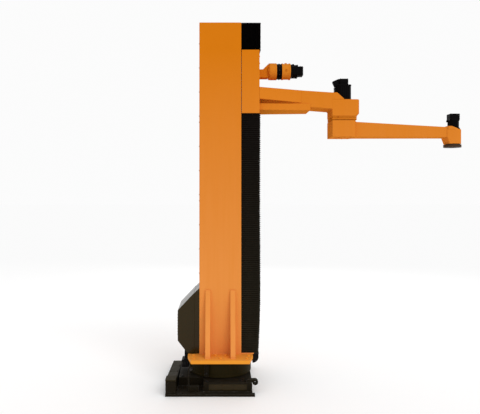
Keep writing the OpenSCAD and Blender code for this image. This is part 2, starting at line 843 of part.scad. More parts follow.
module lift_adapter() color(orange) translate([adapter_x, 0, lift_axis_z]) rotate([0, 90, 0])
  cylinder(h = adapter_l, d = adapter_d, $fn = 72);

module lift_motor() color(black) translate([lift_motor_x, 0, lift_axis_z]) rotate([0, 90, 0])
  motor_body(lift_motor_w, lift_motor_l);

module lift_encoder() color(black) translate([lift_encoder_x, 0, lift_axis_z]) rotate([0, 90, 0])
  motor_body(lift_encoder_w, lift_encoder_l);

// ---- forearm ----

module forearm_root() color(orange) difference() {
  plan(root_bottom, root_h) rounded_front(elbow_left, root_right, elbow_half, corner_r);
  plan(root_bottom + housing_wall, root_h - 2 * housing_wall)
    rounded_front(elbow_left + housing_wall, root_right - housing_wall, elbow_half - housing_wall,
      corner_r - housing_wall);
}

module elbow_shaft() color(bright_steel) translate([elbow_x, 0, root_top])
  cylinder(h = elbow_gap + elbow_ring_h + shaft_l, r = elbow_shaft_r, $fn = 64);

// The beam tapers both in height and, in plan, in width.
module forearm_taper(inset, reach) {
  x0 = root_right - reach;
  x1 = wrist_left + reach;
  intersection() {
    plan(root_bottom, root_h) polygon([
      [x0, -forearm_root_w / 2 + inset],
      [x1, -forearm_tip_w / 2 + inset],
      [x1, forearm_tip_w / 2 - inset],
      [x0, forearm_root_w / 2 - inset]
    ]);
    side_profile([
      [x0, root_bottom + inset],
      [x1, root_bottom + inset],
      [x1, root_bottom + forearm_tip_h - inset],
      [x0, root_bottom + forearm_root_h - inset]
    ], 2 * elbow_half);
  }
}

module forearm_beam() color(orange) difference() {
  forearm_taper(0, 0);
  forearm_taper(arm_wall, cut);
}

// The wrist housing's plan: square at the beam and round at its front.
module wrist_plan(back, inset) {
  half = wrist_half - inset;
  rounded_front(wrist_left + back, wrist_x + half, half, half - cut);
}

// A rear wall and two cheeks stand on the wrist deck round the motor. The cheeks slope down to it.
module wrist_rim() intersection() {
  plan(wrist_deck_z, wrist_step) difference() {
    wrist_plan(0, 0);
    translate([wrist_left + wrist_cheek_t, -wrist_half + wrist_cheek_t])
      square([3 * wrist_half, 2 * (wrist_half - wrist_cheek_t)]);
  }
  side_profile([
    [wrist_left, wrist_deck_z],
    [wrist_left + wrist_cheek_l, wrist_deck_z],
    [wrist_left + wrist_cheek_flat, wrist_top_z],
    [wrist_left, wrist_top_z]
  ], 2 * elbow_half);
}

module wrist_housing() color(orange) difference() {
  union() {
    intersection() {
      plan(wrist_bottom, wrist_deck_z - wrist_bottom) wrist_plan(0, 0);
      side_profile([
        [wrist_left, root_bottom],
        [wrist_left + wrist_lean, wrist_bottom],
        [wrist_x + wrist_half, wrist_bottom],
        [wrist_x + wrist_half, wrist_deck_z],
        [wrist_left, wrist_deck_z]
      ], 2 * elbow_half);
    }
    wrist_rim();
    pad = wrist_motor_w / 2 + pad_margin;
    middle = wrist_x + wrist_motor_out;
    block_between([middle - pad, -pad, wrist_deck_z], [middle + pad, pad, pad_z]);
  }
  translate([wrist_x, 0, wrist_bottom - cut])
    cylinder(h = shaft_l + 2 * cut, r = wrist_shaft_r + shaft_play, $fn = 64);
  low = wrist_bottom + shaft_l + housing_wall / 2;
  plan(low, wrist_deck_z - housing_wall - low) wrist_plan(wrist_lean + housing_wall, housing_wall);
}

module wrist_motor() color(black) translate([wrist_x + wrist_motor_out, 0, pad_z])
  motor_body(wrist_motor_w, wrist_motor_l);

module wrist_encoder() color(black) translate([wrist_x + wrist_motor_out, 0, pad_z + wrist_motor_l])
  motor_body(wrist_encoder_w, wrist_encoder_l);

// ---- tool flange ----

module tool_flange() color(black) translate([wrist_x, 0, flange_z]) difference() {
  union() {
    cylinder(h = flange_t, d = flange_d, $fn = 96);
    translate([0, 0, flange_t - cut]) cylinder(h = cut + flange_gap + shaft_l, r = wrist_shaft_r, $fn = 64);
  }
  translate([0, 0, -cut]) cylinder(h = pilot_depth + cut, d = pilot_d, $fn = 64);
  for (i = [0 : tool_bolts - 1]) {
    rotate([0, 0, i * 360 / tool_bolts]) translate([tool_pcd / 2, 0, -cut])
      cylinder(h = flange_t + 2 * cut, d = tool_hole_d, $fn = 32);
  }
}

ground_plate();
base_frame();
connection_block();
block_cap();
cable_duct();
switch_post();
lifting_lugs();
slew_ring();
turntable();
slew_skirt();
stop_dog();
foot_plate();
column_ribs();
column_box();
column_cap();
drive_cover();
slew_gear_unit();
guide_rails();
bellows_foot();
bellows_head();
lower_bellows();
upper_bellows();
carriage_box();
carriage_cheeks();
bearing_blocks();
upper_arm_beam();
arm_stiffener();
arm_wings();
elbow_housing();
elbow_cheeks();
elbow_bearing();
elbow_motor();
elbow_encoder();
lift_bracket();
lift_bell();
lift_gear_unit();
lift_adapter();
lift_motor();
lift_encoder();
forearm_root();
elbow_shaft();
forearm_beam();
wrist_housing();
wrist_motor();
wrist_encoder();
tool_flange();
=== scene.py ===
"""Looks of a column palletizing robot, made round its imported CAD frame.

Shapes are surfaces worked out with numpy: an outline carried between two ends, a profile carried
round an axis, or a section carried along a path. Metres, +Z up, +X towards the arm.
"""

import json
import math

import bmesh
import bpy
import numpy as np
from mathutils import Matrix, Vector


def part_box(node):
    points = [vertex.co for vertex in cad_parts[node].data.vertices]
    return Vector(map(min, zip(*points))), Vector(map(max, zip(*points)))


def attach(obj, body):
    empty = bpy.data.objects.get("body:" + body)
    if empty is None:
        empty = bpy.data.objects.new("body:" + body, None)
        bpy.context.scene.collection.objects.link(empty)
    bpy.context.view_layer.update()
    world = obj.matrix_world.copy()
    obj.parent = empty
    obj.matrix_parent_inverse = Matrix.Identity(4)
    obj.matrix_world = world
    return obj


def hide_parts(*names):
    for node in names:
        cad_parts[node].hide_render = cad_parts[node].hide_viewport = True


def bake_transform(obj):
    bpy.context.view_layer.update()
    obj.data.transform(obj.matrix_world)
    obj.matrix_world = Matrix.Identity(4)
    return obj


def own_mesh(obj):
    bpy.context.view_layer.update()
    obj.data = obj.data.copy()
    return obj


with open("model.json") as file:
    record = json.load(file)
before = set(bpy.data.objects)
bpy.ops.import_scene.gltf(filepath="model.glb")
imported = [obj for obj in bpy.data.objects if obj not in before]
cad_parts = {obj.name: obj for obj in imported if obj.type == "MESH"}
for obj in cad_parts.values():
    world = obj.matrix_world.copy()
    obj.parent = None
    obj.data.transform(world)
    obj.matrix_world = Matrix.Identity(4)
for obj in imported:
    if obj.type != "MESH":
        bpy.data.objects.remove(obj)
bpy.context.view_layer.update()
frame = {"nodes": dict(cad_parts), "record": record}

SCENE = bpy.context.scene
RECORD = frame["record"]
FULL_TURN = 2 * math.pi
QUARTER_TURN = math.pi / 2


# -------- surfaces


def span(node):
    """A CAD node's box: its lowest x, y and z, then its highest."""
    low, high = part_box(node)
    return tuple(float(value) for value in (*low, *high))


def unit(v):
    """Vectors scaled to length 1."""
    return v / np.linalg.norm(v, axis=-1, keepdims=True)


def angles(count):
    """Angles evenly round a full turn, from 0."""
    return np.arange(count) * FULL_TURN / count


def skin(rings, caps=True):
    """Equal rings of points joined into a surface: a quad between each two neighbours on two
    neighbouring rings, and a flat face over the first and the last ring."""
    count, sides, _ = rings.shape
    row = np.arange(count - 1)[:, None] * sides
    here = np.arange(sides)
    there = (here + 1) % sides
    quads = np.stack([row + here, row + there, row + sides + there, row + sides + here], -1)
    faces = quads.reshape(-1, 4).tolist()
    if caps:
        faces.append(list(range(sides))[::-1])
        faces.append(list(range((count - 1) * sides, count * sides)))
    return rings.reshape(-1, 3), faces


def sheet(grid):
    """A grid of points joined into an open surface: one quad in each cell of the grid."""
    rows, columns, _ = grid.shape
    first = np.arange(rows - 1)[:, None] * columns + np.arange(columns - 1)
    quads = np.stack([first, first + 1, first + columns + 1, first + columns], -1)
    return grid.reshape(-1, 3), quads.reshape(-1, 4).tolist()


def placed(points, axis, at=(0, 0, 0)):
    """Points whose third coordinate runs along axis: (u, v, w) becomes (u, v, w) on z,
    (u, w, v) on y and (w, u, v) on x, and then all move by at."""
    order = {"z": [0, 1, 2], "y": [0, 2, 1], "x": [2, 0, 1]}[axis]
    return points[..., order] + np.asarray(at, float)


def rectangle(u0, u1, v0, v1):
    """The corners of a rectangle, anticlockwise."""
    return [(u0, v0), (u1, v0), (u1, v1), (u0, v1)]


def rounded(points, radius, steps):
    """A closed outline with arcs for corners. Each arc's centre lies on the corner's bisector,
    radius / cos(half the turn) from it, and its normal swings evenly from one edge's to the next's.
    Returns the points and their outward normals; the outline runs anticlockwise."""
    p = np.asarray(points, float)
    along_in = unit(p - np.roll(p, 1, 0))
    along_out = unit(np.roll(p, -1, 0) - p)
    normal_in = np.stack([along_in[:, 1], -along_in[:, 0]], -1)
    normal_out = np.stack([along_out[:, 1], -along_out[:, 0]], -1)
    dot = (normal_in * normal_out).sum(-1)
    cross = normal_in[:, 0] * normal_out[:, 1] - normal_in[:, 1] * normal_out[:, 0]
    turn = np.arctan2(cross, dot)
    side = (np.sign(turn) * radius)[:, None]
    centre = p - side * (normal_in + normal_out) / (1 + dot)[:, None]
    angle = np.arctan2(normal_in[:, 1], normal_in[:, 0])[:, None] + turn[:, None] * np.linspace(0, 1, steps)
    normals = np.stack([np.cos(angle), np.sin(angle)], -1)
    outline = centre[:, None] + side[:, None] * normals
    return outline.reshape(-1, 2), normals.reshape(-1, 2)


def loft(rows, axis="z", steps=4):
    """Outlines with rounded corners, at growing heights along axis, joined into one surface. Each row
    is (points, radius, inset, height), and inset draws the outline in along its normals."""
    rings = []
    for points, radius, inset, height in rows:
        outline, normals = rounded(points, radius, steps)
        rings.append(np.column_stack([outline - inset * normals, np.full(len(outline), height)]))
    return skin(placed(np.array(rings), axis))


def prism(points, low, high, axis="z", radius=0.004, edge=0.003, steps=4):
    """An outline carried along axis from low to high, with quarter-round rims: at angle t the ring
    is drawn in by edge (1 - sin t) and stands edge (1 - cos t) inside the end. radius rounds the
    outline's own corners, one value or one for each corner."""
    t = np.linspace(0, QUARTER_TURN, 4)
    inset = edge * (1 - np.sin(t))
    rise = edge * (1 - np.cos(t))
    radius = np.maximum(radius, edge)
    rows = [(points, radius, *row) for row in zip(inset, low + rise)]
    rows += [(points, radius, *row) for row in zip(inset[::-1], (high - rise)[::-1])]
    return loft(rows, axis, steps)


def slab(low, high, axis="z", radius=0.004, edge=0.003, steps=4):
    """A block between two corners with rounded edges, as a prism of its rectangle along axis."""
    u, v, w = {"z": (0, 1, 2), "y": (0, 2, 1), "x": (1, 2, 0)}[axis]
    outline = rectangle(low[u], high[u], low[v], high[v])
    return prism(outline, low[w], high[w], axis, radius, edge, steps)


def turned(profile, at, axis="z", sides=96):
    """A profile of (radius, height) pairs carried round an axis through at: a point is
    (radius cos a, radius sin a, height) at angle a. A profile that starts and ends at radius 0 is
    closed at its poles; one that doesn't is a ring whose last pair joins its first."""
    pairs = np.asarray(profile, float)
    if pairs[0, 0] > 0:
        pairs = np.vstack([pairs, pairs[:1]])
    a = angles(sides)
    radius, height = pairs[:, :1], pairs[:, 1:]
    ring = np.stack([radius * np.cos(a), radius * np.sin(a), height + 0 * a], -1)
    return skin(placed(ring, axis, at), caps=False)


def bead(start, end, size=0.004):
    """A weld bead from start to end: rings of six points round the line, of radius size times
    1 + 0.16 |sin| of the distance along it, one hump for each ripple."""
    ripple = 0.0045
    start, end = np.asarray(start, float), np.asarray(end, float)
    length = np.linalg.norm(end - start)
    s = np.linspace(0, 1, max(4, int(length / ripple * 3)))[:, None, None]
    radius = size * (1 + 0.16 * np.abs(np.sin(math.pi * s * length / ripple)))
    radius[[0, -1]] *= 0.4
    along = unit(end - start)
    first = unit(np.cross(along, (0.3, 0.5, 0.81)))
    second = np.cross(first, along)
    a = angles(6)[:, None]
    return skin(start + s * (end - start) + radius * (np.cos(a) * first + np.sin(a) * second))


def beads(points, size):
    """Weld beads along each stretch of a line of points."""
    return join(*[bead(a, b, size) for a, b in zip(points[:-1], points[1:])])


def join(*parts):
    """Several surfaces as one, with their faces renumbered."""
    points, faces, count = [], [], 0
    for part_points, part_faces in parts:
        points.append(part_points)
        faces += [[i + count for i in face] for face in part_faces]
        count += len(part_points)
    return np.concatenate(points), faces


def copies(part, places):
    """One surface repeated with its origin at each of the places."""
    points, faces = part
    return join(*[(points + spot, faces) for spot in np.asarray(places, float)])


def facing(part, axis, sign=1, at=(0, 0, 0)):
    """A surface made standing on the origin along +z, turned to stand on at along +axis or -axis."""
    points, faces = part
    return placed(points * np.array([1, 1, sign]), axis, at), faces


def spun(part, turns):
    """One surface repeated, turned round the z axis by each of the angles."""
    points, faces = part
    waves = [(math.cos(t), math.sin(t)) for t in turns]
    return join(*[(points @ np.array([[c, s, 0], [-s, c, 0], [0, 0, 1]]), faces) for c, s in waves])


def mirrored(part):
    """A surface and its mirror image across the plane y = 0."""
    points, faces = part
    return join(part, (points * np.array([1, -1, 1]), [face[::-1] for face in faces]))


def rows_of(xs, ys, zs):
    """Every place of a grid of coordinates."""
    return np.stack(np.meshgrid(xs, ys, zs, indexing="ij"), -1).reshape(-1, 3)


# -------- screws and plugs


def hexagon(angle):
    """How far a hexagon of inner radius 1 reaches at each angle: 1 / cos of the angle to the
    nearest flat's middle."""
    return 1 / np.cos((angle + math.pi / 6) % (math.pi / 3) - math.pi / 6)


def stack(a, rows, radius, height):
    """Rings round the z axis, with a point at each of the angles a, joined into one surface. Each
    row is (reach, level): its ring lies radius * reach from the axis at height * level, and reach
    is one value or one for each angle."""
    rings = []
    for reach, level in rows:
        r = radius * reach
        rings.append(np.stack(np.broadcast_arrays(r * np.cos(a), r * np.sin(a), height * level), -1))
    return skin(np.array(rings))


def cap_screw(radius):
    """A socket-head screw on the origin: rings at growing height, a small chamfer at the rim, then
    a six-sided socket, which is a ring that follows the hexagon, sunk into the head."""
    a = angles(12)
    socket = 0.5 * hexagon(a)
    return stack(a, [(1, 0), (1, 0.85), (0.88, 1), (socket, 1), (socket, 0.45)], radius, radius)


def hex_bolt(radius):
    """A hexagon bolt on a washer, on the origin: round rings for the washer, then rings that follow
    the hexagon, with the top drawn in for the chamfer."""
    a = angles(12)
    head = 0.92 * hexagon(a)
    return stack(a, [(1.25, 0), (1.25, 0.18), (head, 0.18), (head, 0.75), (0.9, 0.85)], radius, radius)


def skin_nut(radius, height):
    """A thin hexagon nut on the origin, with its top and bottom drawn in to a circle."""
    a = angles(24)
    hexed = 0.88 * hexagon(a)
    return stack(a, [(0.90, 0), (hexed, 0.12), (hexed, 0.88), (0.90, 1)], radius, height)


def screw_cap(radius):
    """A round blanking cap standing on the origin: a washer, a knurled rim that swings 24 times
    round by 3% of the radius, and a slightly sunk face."""
    a = angles(48)
    knurl = 1 + 0.03 * np.cos(24 * a)
    rows = [(1.12, 0), (1.12, 0.10), (knurl, 0.12), (knurl, 0.38), (0.86, 0.42), (0.80, 0.34), (0.02, 0.34)]
    return stack(a, rows, radius, radius)


def connector(radius, reach):
    """A round plug-in connector lying along +x from the origin: a foot, a neck, a coupling ring that
    swings 16 times round by 4% of the radius, and a capped end."""
    a = angles(32)
    knurl = 1.06 + 0.04 * np.cos(16 * a)
    rows = [(1.15, -0.15), (1.15, 0.12), (0.9, 0.16), (0.9, 0.34), (knurl, 0.38), (knurl, 0.80), (0.92, 0.84),
            (0.92, 0.96), (0.80, 1)]
    return facing(stack(a, rows, radius, reach), "x")


def screws(radius, axis, sign, xs, ys, zs):
    """Cap screws at every place of a grid of coordinates, standing along +axis or -axis."""
    return copies(facing(cap_screw(radius), axis, sign), rows_of(xs, ys, zs))


# -------- node groups and materials


def connect(tree, node, links):
    """Inputs of a node linked or set: each link is (socket, value), where a Value is linked."""
    for socket, value in links:
        if isinstance(value, Value):
            tree.links.new(value.socket, node.inputs[socket])
        else:
            node.inputs[socket].default_value = value


def add(tree, kind, links=(), output=0, **settings):
    """The output of a new node with its settings and its inputs."""
    node = tree.nodes.new(kind)
    for key, value in settings.items():
        setattr(node, key, value)
    connect(tree, node, links)
    return Value(tree, node.outputs[output])


class Value:
    """The output of a node. A sum or product with it is the output of a new Math node."""

    def __init__(self, tree, socket):
        self.tree, self.socket = tree, socket

    def maths(self, operation, other, clamp=False):
        """The output of a new Math node on this value and another."""
        return add(self.tree, "ShaderNodeMath", [(0, self), (1, other)], operation=operation, use_clamp=clamp)

    def __add__(self, other):
        return self.maths("ADD", other)

    def __sub__(self, other):
        return self.maths("SUBTRACT", other)

    def __mul__(self, other):
        return self.maths("MULTIPLY", other)

    def above(self, start, gain):
        """How far the value lies above start, times gain, kept between 0 and 1."""
        return (self - start).maths("MULTIPLY", gain, True)


def place(tree):
    """Where a point lies, in the object's own coordinates."""
    return add(tree, "ShaderNodeTexCoord", output="Object")


def noise(where, scale, detail):
    """The value of a noise, from 0 to 1."""
    links = [("Vector", where), ("Scale", scale), ("Detail", detail)]
    return add(where.tree, "ShaderNodeTexNoise", links, "Fac")


def stretched(where, scale):
    """Coordinates scaled along each axis."""
    return add(where.tree, "ShaderNodeMapping", [("Vector", where), ("Scale", scale)])


def component(vector, axis):
    """One component of a vector."""
    return add(vector.tree, "ShaderNodeSeparateXYZ", [(0, vector)], axis)


def normal(tree):
    """The surface's normal."""
    return add(tree, "ShaderNodeNewGeometry", output="Normal")


def mix(factor, a, b):
    """Two colours mixed."""
    return add(factor.tree, "ShaderNodeMix", [(0, factor), (6, a), (7, b)], 2, data_type="RGBA")


def blotches(tree, given):
    """Colour that drifts lighter and darker over the surface: it is multiplied by 1 plus Amount
    times a broad noise and a fine one, each from -1 to 1."""
    where = place(tree)
    both = noise(where, given["Scale"], 3.0) * 1.5 + noise(where, given["Scale"] * 14.0, 2.0) * 0.5
    factor = (both - 1.0) * given["Amount"] + 1.0
    return add(tree, "ShaderNodeVectorMath", [(0, given["Colour"]), ("Scale", factor)], operation="SCALE")


def dust(tree, given):
    """Mask of dust: where the surface faces up, broken by noise, and Amount at its most."""
    patches = noise(place(tree), given["Scale"], 5.0)
    return component(normal(tree), "Z").above(0.4, 1.6) * patches.above(0.25, 1.8) * given["Amount"]


def grain(tree, given):
    """Height of a painted surface: a fine orange peel and, at Grit, sharper specks."""
    where = place(tree)
    links = [("Vector", where), ("Scale", given["Scale"] * 3.1)]
    specks = add(tree, "ShaderNodeTexVoronoi", links, "Distance")
    return noise(where, given["Scale"], 1.0) + specks * given["Grit"]


def rubbed_edge_and_highlight_mask(tree, given):
    """Mask of rubbed edges that is also a painted edge highlight: where the normal averaged over
    Radius leans away from the surface's own, broken up by noise."""
    soft = add(tree, "ShaderNodeBevel", [("Radius", given["Radius"])], "Normal", samples=4)
    both = [(0, soft), (1, normal(tree))]
    agree = add(tree, "ShaderNodeVectorMath", both, "Value", operation="DOT_PRODUCT")
    lean = add(tree, "ShaderNodeMath", [(0, 0.985), (1, agree)], operation="SUBTRACT")
    broken = noise(place(tree), 70.0, 6.0).above(0.42, 6.0)
    return lean.maths("MULTIPLY", 9.0, True) * broken * given["Amount"]


def painted_floor_bounce(tree, given):
    """Mask of painted bounce light off the floor, which pales the colour towards the foot: 1 at the foot
    and 0 at Height, falling off evenly, and broken by a tall noise that runs down in streaks."""
    where = place(tree)
    height = component(where, "Z").maths("DIVIDE", given["Height"])
    share = add(tree, "ShaderNodeMath", [(0, 1.0), (1, height)], operation="SUBTRACT", use_clamp=True)
    streak = noise(stretched(where, (30.0, 30.0, 1.5)), 1.0, 4.0)
    return (share * (streak * 0.5 + 0.75)).maths("MULTIPLY", given["Amount"], True)


def group(name, fill, output, **inputs):
    """A shader node group: named inputs with a number or a colour each, and one output, whose value
    fill returns."""
    tree = bpy.data.node_groups.new(name, "ShaderNodeTree")
    for label, value in inputs.items():
        kind = "NodeSocketFloat" if isinstance(value, float) else "NodeSocketColor"
        tree.interface.new_socket(name=label, in_out="INPUT", socket_type=kind).default_value = value
    kind = "NodeSocketColor" if output == "Colour" else "NodeSocketFloat"
    tree.interface.new_socket(name=output, in_out="OUTPUT", socket_type=kind)
    sockets = tree.nodes.new("NodeGroupInput").outputs
    result = tree.nodes.new("NodeGroupOutput")
    connect(tree, result, [(output, fill(tree, {label: Value(tree, sockets[label]) for label in inputs}))])
    return tree


BLOTCHES = group("Blotches", blotches, "Colour", Colour=(0.5, 0.5, 0.5, 1), Scale=3.0, Amount=0.1)
DUST = group("Dust", dust, "Mask", Amount=0.3, Scale=18.0)
GRAIN = group("Grain", grain, "Height", Scale=500.0, Grit=0.3)
# Rubbed edges, which also serve as a painted highlight along the edges.
RUBBED_EDGES_AND_HIGHLIGHT = group("Rubbed edges and painted highlight", rubbed_edge_and_highlight_mask, "Mask", Radius=0.004, Amount=0.5)
# Painted bounce light off the floor: paler towards the foot.
BOUNCE_MASK = group("Painted floor bounce", painted_floor_bounce, "Mask", Height=2.6, Amount=0.5)


def use(tree, node_tree, **values):
    """The output of a node group placed in a material with its own values."""
    return add(tree, "ShaderNodeGroup", values.items(), node_tree=node_tree)


def blank(name):
    """A new material's node tree and its Principled shader."""
    material = bpy.data.materials.new(name)
    material.use_nodes = True
    return material, material.node_tree, material.node_tree.nodes["Principled BSDF"]


def finish(name, build, specular=0.5, metallic=0.0):
    """A new material: build is given its node tree and returns its base colour, its roughness, and
    the height, strength and depth of its bump."""
    material, tree, shader = blank(name)
    colour, rough, height, strength, depth = build(tree)
    bump = add(tree, "ShaderNodeBump", [("Height", height), ("Strength", strength), ("Distance", depth)])
    connect(tree, shader, [("Base Color", colour), ("Roughness", rough), ("Normal", bump),
                           ("Specular IOR Level", specular), ("Metallic", metallic)])
    return material


# Bare metal at rubbed edges, which is also a painted highlight along them.
BARE_METAL_HIGHLIGHT = (0.3, 0.29, 0.28, 1)
# A paler orange towards the foot: painted bounce light off the floor.
BOUNCE_LIT_COLOUR = (0.8, 0.305, 0.08, 1)
DUST_COLOUR = (0.42, 0.38, 0.33, 1)


def painted(name, colour, roughness, specular, blotch, dusty, peel, rubbed_and_highlight=0.0, bounce_light=0.0):
    """Paint on metal: blotchy colour, rubbed edges that show what is under the paint and also serve as a
    painted highlight, painted bounce light off the floor that pales the foot, dust on ledges,
    roughness that drifts with the colour, and a bump of orange peel."""
    def build(tree):
        base = use(tree, BLOTCHES, Colour=(*colour, 1), Scale=2.3, Amount=blotch)
        # Rubbed edges to bare metal, also a painted edge highlight.
        if rubbed_and_highlight:
            base = mix(use(tree, RUBBED_EDGES_AND_HIGHLIGHT, Radius=0.004, Amount=rubbed_and_highlight), base, BARE_METAL_HIGHLIGHT)
        # Paler towards the foot: painted bounce light off the floor.
        if bounce_light:
            base = mix(use(tree, BOUNCE_MASK, Height=2.9, Amount=bounce_light), base, BOUNCE_LIT_COLOUR)
        mask = use(tree, DUST, Amount=dusty, Scale=21.0)
        rough = noise(place(tree), 6.0, 6.0) * 0.16 + (roughness - 0.08)
        rough = rough.maths("ADD", mask * 0.5, True)
        height = use(tree, GRAIN, Scale=420.0, Grit=0.2)
        return mix(mask, base, DUST_COLOUR), rough, height, peel, 0.001

    return finish(name, build, specular)


def machined(name, colour, roughness):
    """Bare machined steel: fine streaks from a noise stretched along z, darker in the streaks."""
    def build(tree):
        streak = noise(stretched(place(tree), (900.0, 900.0, 14.0)), 1.0, 3.0)
        base = mix(streak, (*(c * 0.62 for c in colour), 1), (*colour, 1))
        spots = use(tree, BLOTCHES, Colour=base, Scale=9.0, Amount=0.14)
        return spots, streak * 0.22 + (roughness - 0.1), streak, 0.12, 0.0005

    return finish(name, build, metallic=0.95)


def cloth(tree):
    """Coated bellows cloth: a fine square weave from sine bands in height, dusty on the upper side of
    each fold."""
    where = place(tree)
    y, z, x = [(component(where, axis) * 4200.0).maths("SINE", 0.0) * 0.5 + 0.5 for axis in "YZX"]
    drift = noise(where, 5.0, 5.0)
    base = mix(drift, (0.005, 0.0034, 0.0028, 1), (0.0066, 0.0046, 0.004, 1))
    # Paler towards the foot: painted bounce light off the floor, as on the orange paint.
    base = mix(use(tree, BOUNCE_MASK, Height=2.35, Amount=1.0), base, (0.019, 0.0155, 0.0085, 1))
    base = mix(use(tree, DUST, Amount=0.12, Scale=30.0), base, (0.07, 0.063, 0.052, 1))
    return base, drift * 0.25 + 0.5, (y + x) * z, 0.25, 0.0004


# Each paint: colour, roughness, specular level, blotches, dust, orange peel, then, where given, rubbed edges
# that are also a painted highlight, and painted bounce light off the floor.
# The orange paint pales towards the foot: painted bounce light off the floor.
ORANGE = painted("orange paint", (0.625, 0.176, 0.006), 0.6, 0.0, 0.05, 0.06, 0.06, bounce_light=0.9)
ORANGE_CASTING = painted("orange casting", (0.56, 0.165, 0.012), 0.6, 0.0, 0.07, 0.06, 0.3)
DRIVE_CASTING = painted("drive casting", (0.66, 0.215, 0.018), 0.6, 0.0, 0.07, 0.06, 0.3)
# A lighter copy of the orange paint for the foot plate and its bolts: painted light where the plate's top
# catches it.
PAINTED_LIT_ORANGE = painted("orange with painted light", (0.8, 0.3, 0.03), 0.52, 0.02, 0.06, 0.1, 0.1)
DARK = painted("dark steel", (0.0105, 0.0076, 0.0036), 0.55, 0.05, 0.25, 0.04, 0.15, rubbed_and_highlight=0.25)
OLIVE = painted("olive paint", (0.026, 0.017, 0.0045), 0.2, 0.14, 0.12, 0.03, 0.04)
SKIRT = painted("skirt paint", (0.02, 0.0145, 0.0042), 0.55, 0.04, 0.15, 0.05, 0.1)
BLACK = painted("black paint", (0.0045, 0.0036, 0.0036), 0.5, 0.1, 0.2, 0.05, 0.15, rubbed_and_highlight=0.15)
MOTOR = painted("motor black", (0.0014, 0.0008, 0.001), 0.5, 0.05, 0.2, 0.02, 0.2)
PLASTIC = painted("encoder plastic", (0.0014, 0.0008, 0.001), 0.55, 0.05, 0.15, 0.02, 0.35)
FLANGE = painted("flange black", (0.052, 0.028, 0.015), 0.5, 0.08, 0.2, 0.05, 0.1, rubbed_and_highlight=0.3)
STEEL = machined("machined steel", (0.55, 0.55, 0.56), 0.34)
SCREW = machined("screw steel", (0.045, 0.04, 0.036), 0.5)
CLOTH = finish("bellows cloth", cloth, 0.05)

SLOT_MATERIAL = {
    "orange_paint": ORANGE,
    "dark_steel": DARK,
    "olive_paint": OLIVE,
    "black_paint": BLACK,
    "motor_black": MOTOR,
    "motor_plastic": PLASTIC,
    "bright_steel": STEEL,
    "bellows_cloth": CLOTH,
}


# -------- pieces


slot_of = {s["node"]: s["material_slot"] for s in RECORD["subparts"]}
body_of = {node: body for body, nodes in RECORD["behaviour"]["bodies"].items() for node in nodes}


def linked(name, data):
    """A new object in the scene."""
    obj = bpy.data.objects.new(name, data)
    SCENE.collection.objects.link(obj)
    return obj


def modify(obj, name, kind, **settings):
    """A modifier with its settings."""
    modifier = obj.modifiers.new(name, kind)
    for key, value in settings.items():
        setattr(modifier, key, value)


def assign(obj, body, slot, stands_for, material):
    """A piece's finish, the given material or else its slot's, its body, and the CAD nodes it stands for,
    which are hidden.
    """
    obj.data.materials.append(material or SLOT_MATERIAL[slot])
    if body:
        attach(obj, body)
    if stands_for:
        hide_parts(*stands_for)
    return obj


def piece(name, part, body, slot="orange_paint", material=None, stands_for=(), thickness=0.0):
    """Makes one object of a surface: doubles merged, faces turned outwards, shaded smooth between
    faces that meet within 38 degrees, riding on a body and standing for CAD nodes."""
    mesh = bpy.data.meshes.new(name)
    points, faces = part
    mesh.from_pydata(np.asarray(points).tolist(), [], faces)
    shape = bmesh.new()
    shape.from_mesh(mesh)
    bmesh.ops.remove_doubles(shape, verts=shape.verts, dist=1e-6)
    bmesh.ops.recalc_face_normals(shape, faces=shape.faces)
    shape.to_mesh(mesh)
    shape.free()
    mesh.shade_smooth()
    mesh.set_sharp_from_angle(angle=math.radians(38))
    obj = linked(name, mesh)
    if thickness:
        modify(obj, "thickness", "SOLIDIFY", thickness=thickness, offset=0)
    else:
        modify(obj, "flat faces stay flat", "WEIGHTED_NORMAL", keep_sharp=True)
    return assign(obj, body, slot, stands_for, material)


def stand_in(name, part, *nodes, material=None, thickness=0.0):
    """A piece that stands for CAD nodes, with the first one's body and slot."""
    return piece(name, part, body_of[nodes[0]], slot_of[nodes[0]], material, nodes, thickness)


def fixings(name, part, body, slot="dark_steel"):
    """A piece made of screws or bolts in screw steel."""
    piece(name, part, body, slot, SCREW)


def eased(node, width, material=None):
    """A copy of a CAD node with its triangles merged into whole flat faces and its edges rounded to
    width by a Bevel modifier, which stands for the node."""
    shape = bmesh.new()
    shape.from_mesh(frame["nodes"][node].data)
    bmesh.ops.remove_doubles(shape, verts=shape.verts, dist=1e-5)
    bmesh.ops.dissolve_limit(shape, angle_limit=math.radians(1), verts=shape.verts, edges=shape.edges)
    for element in [*shape.edges, *shape.faces]:
        element.smooth = True
    name = node + "_body"
    mesh = bpy.data.meshes.new(name)
    shape.to_mesh(mesh)
    shape.free()
    if "custom_normal" in mesh.attributes:
        mesh.attributes.remove(mesh.attributes["custom_normal"])
    obj = linked(name, mesh)
    modify(obj, "rounded edges", "BEVEL", width=width, segments=2, limit_method="ANGLE",
           angle_limit=math.radians(30))
    modify(obj, "flat faces stay flat", "WEIGHTED_NORMAL", keep_sharp=False)
    assign(obj, body_of[node], slot_of[node], [node], material)


# Radius of the small cover screws, and how high their heads stand.
COVER_SCREW = 0.0035


# -------- base


# The inner corner of the base frame's open bay.
BAY_X, BAY_Y = -0.141, -0.23


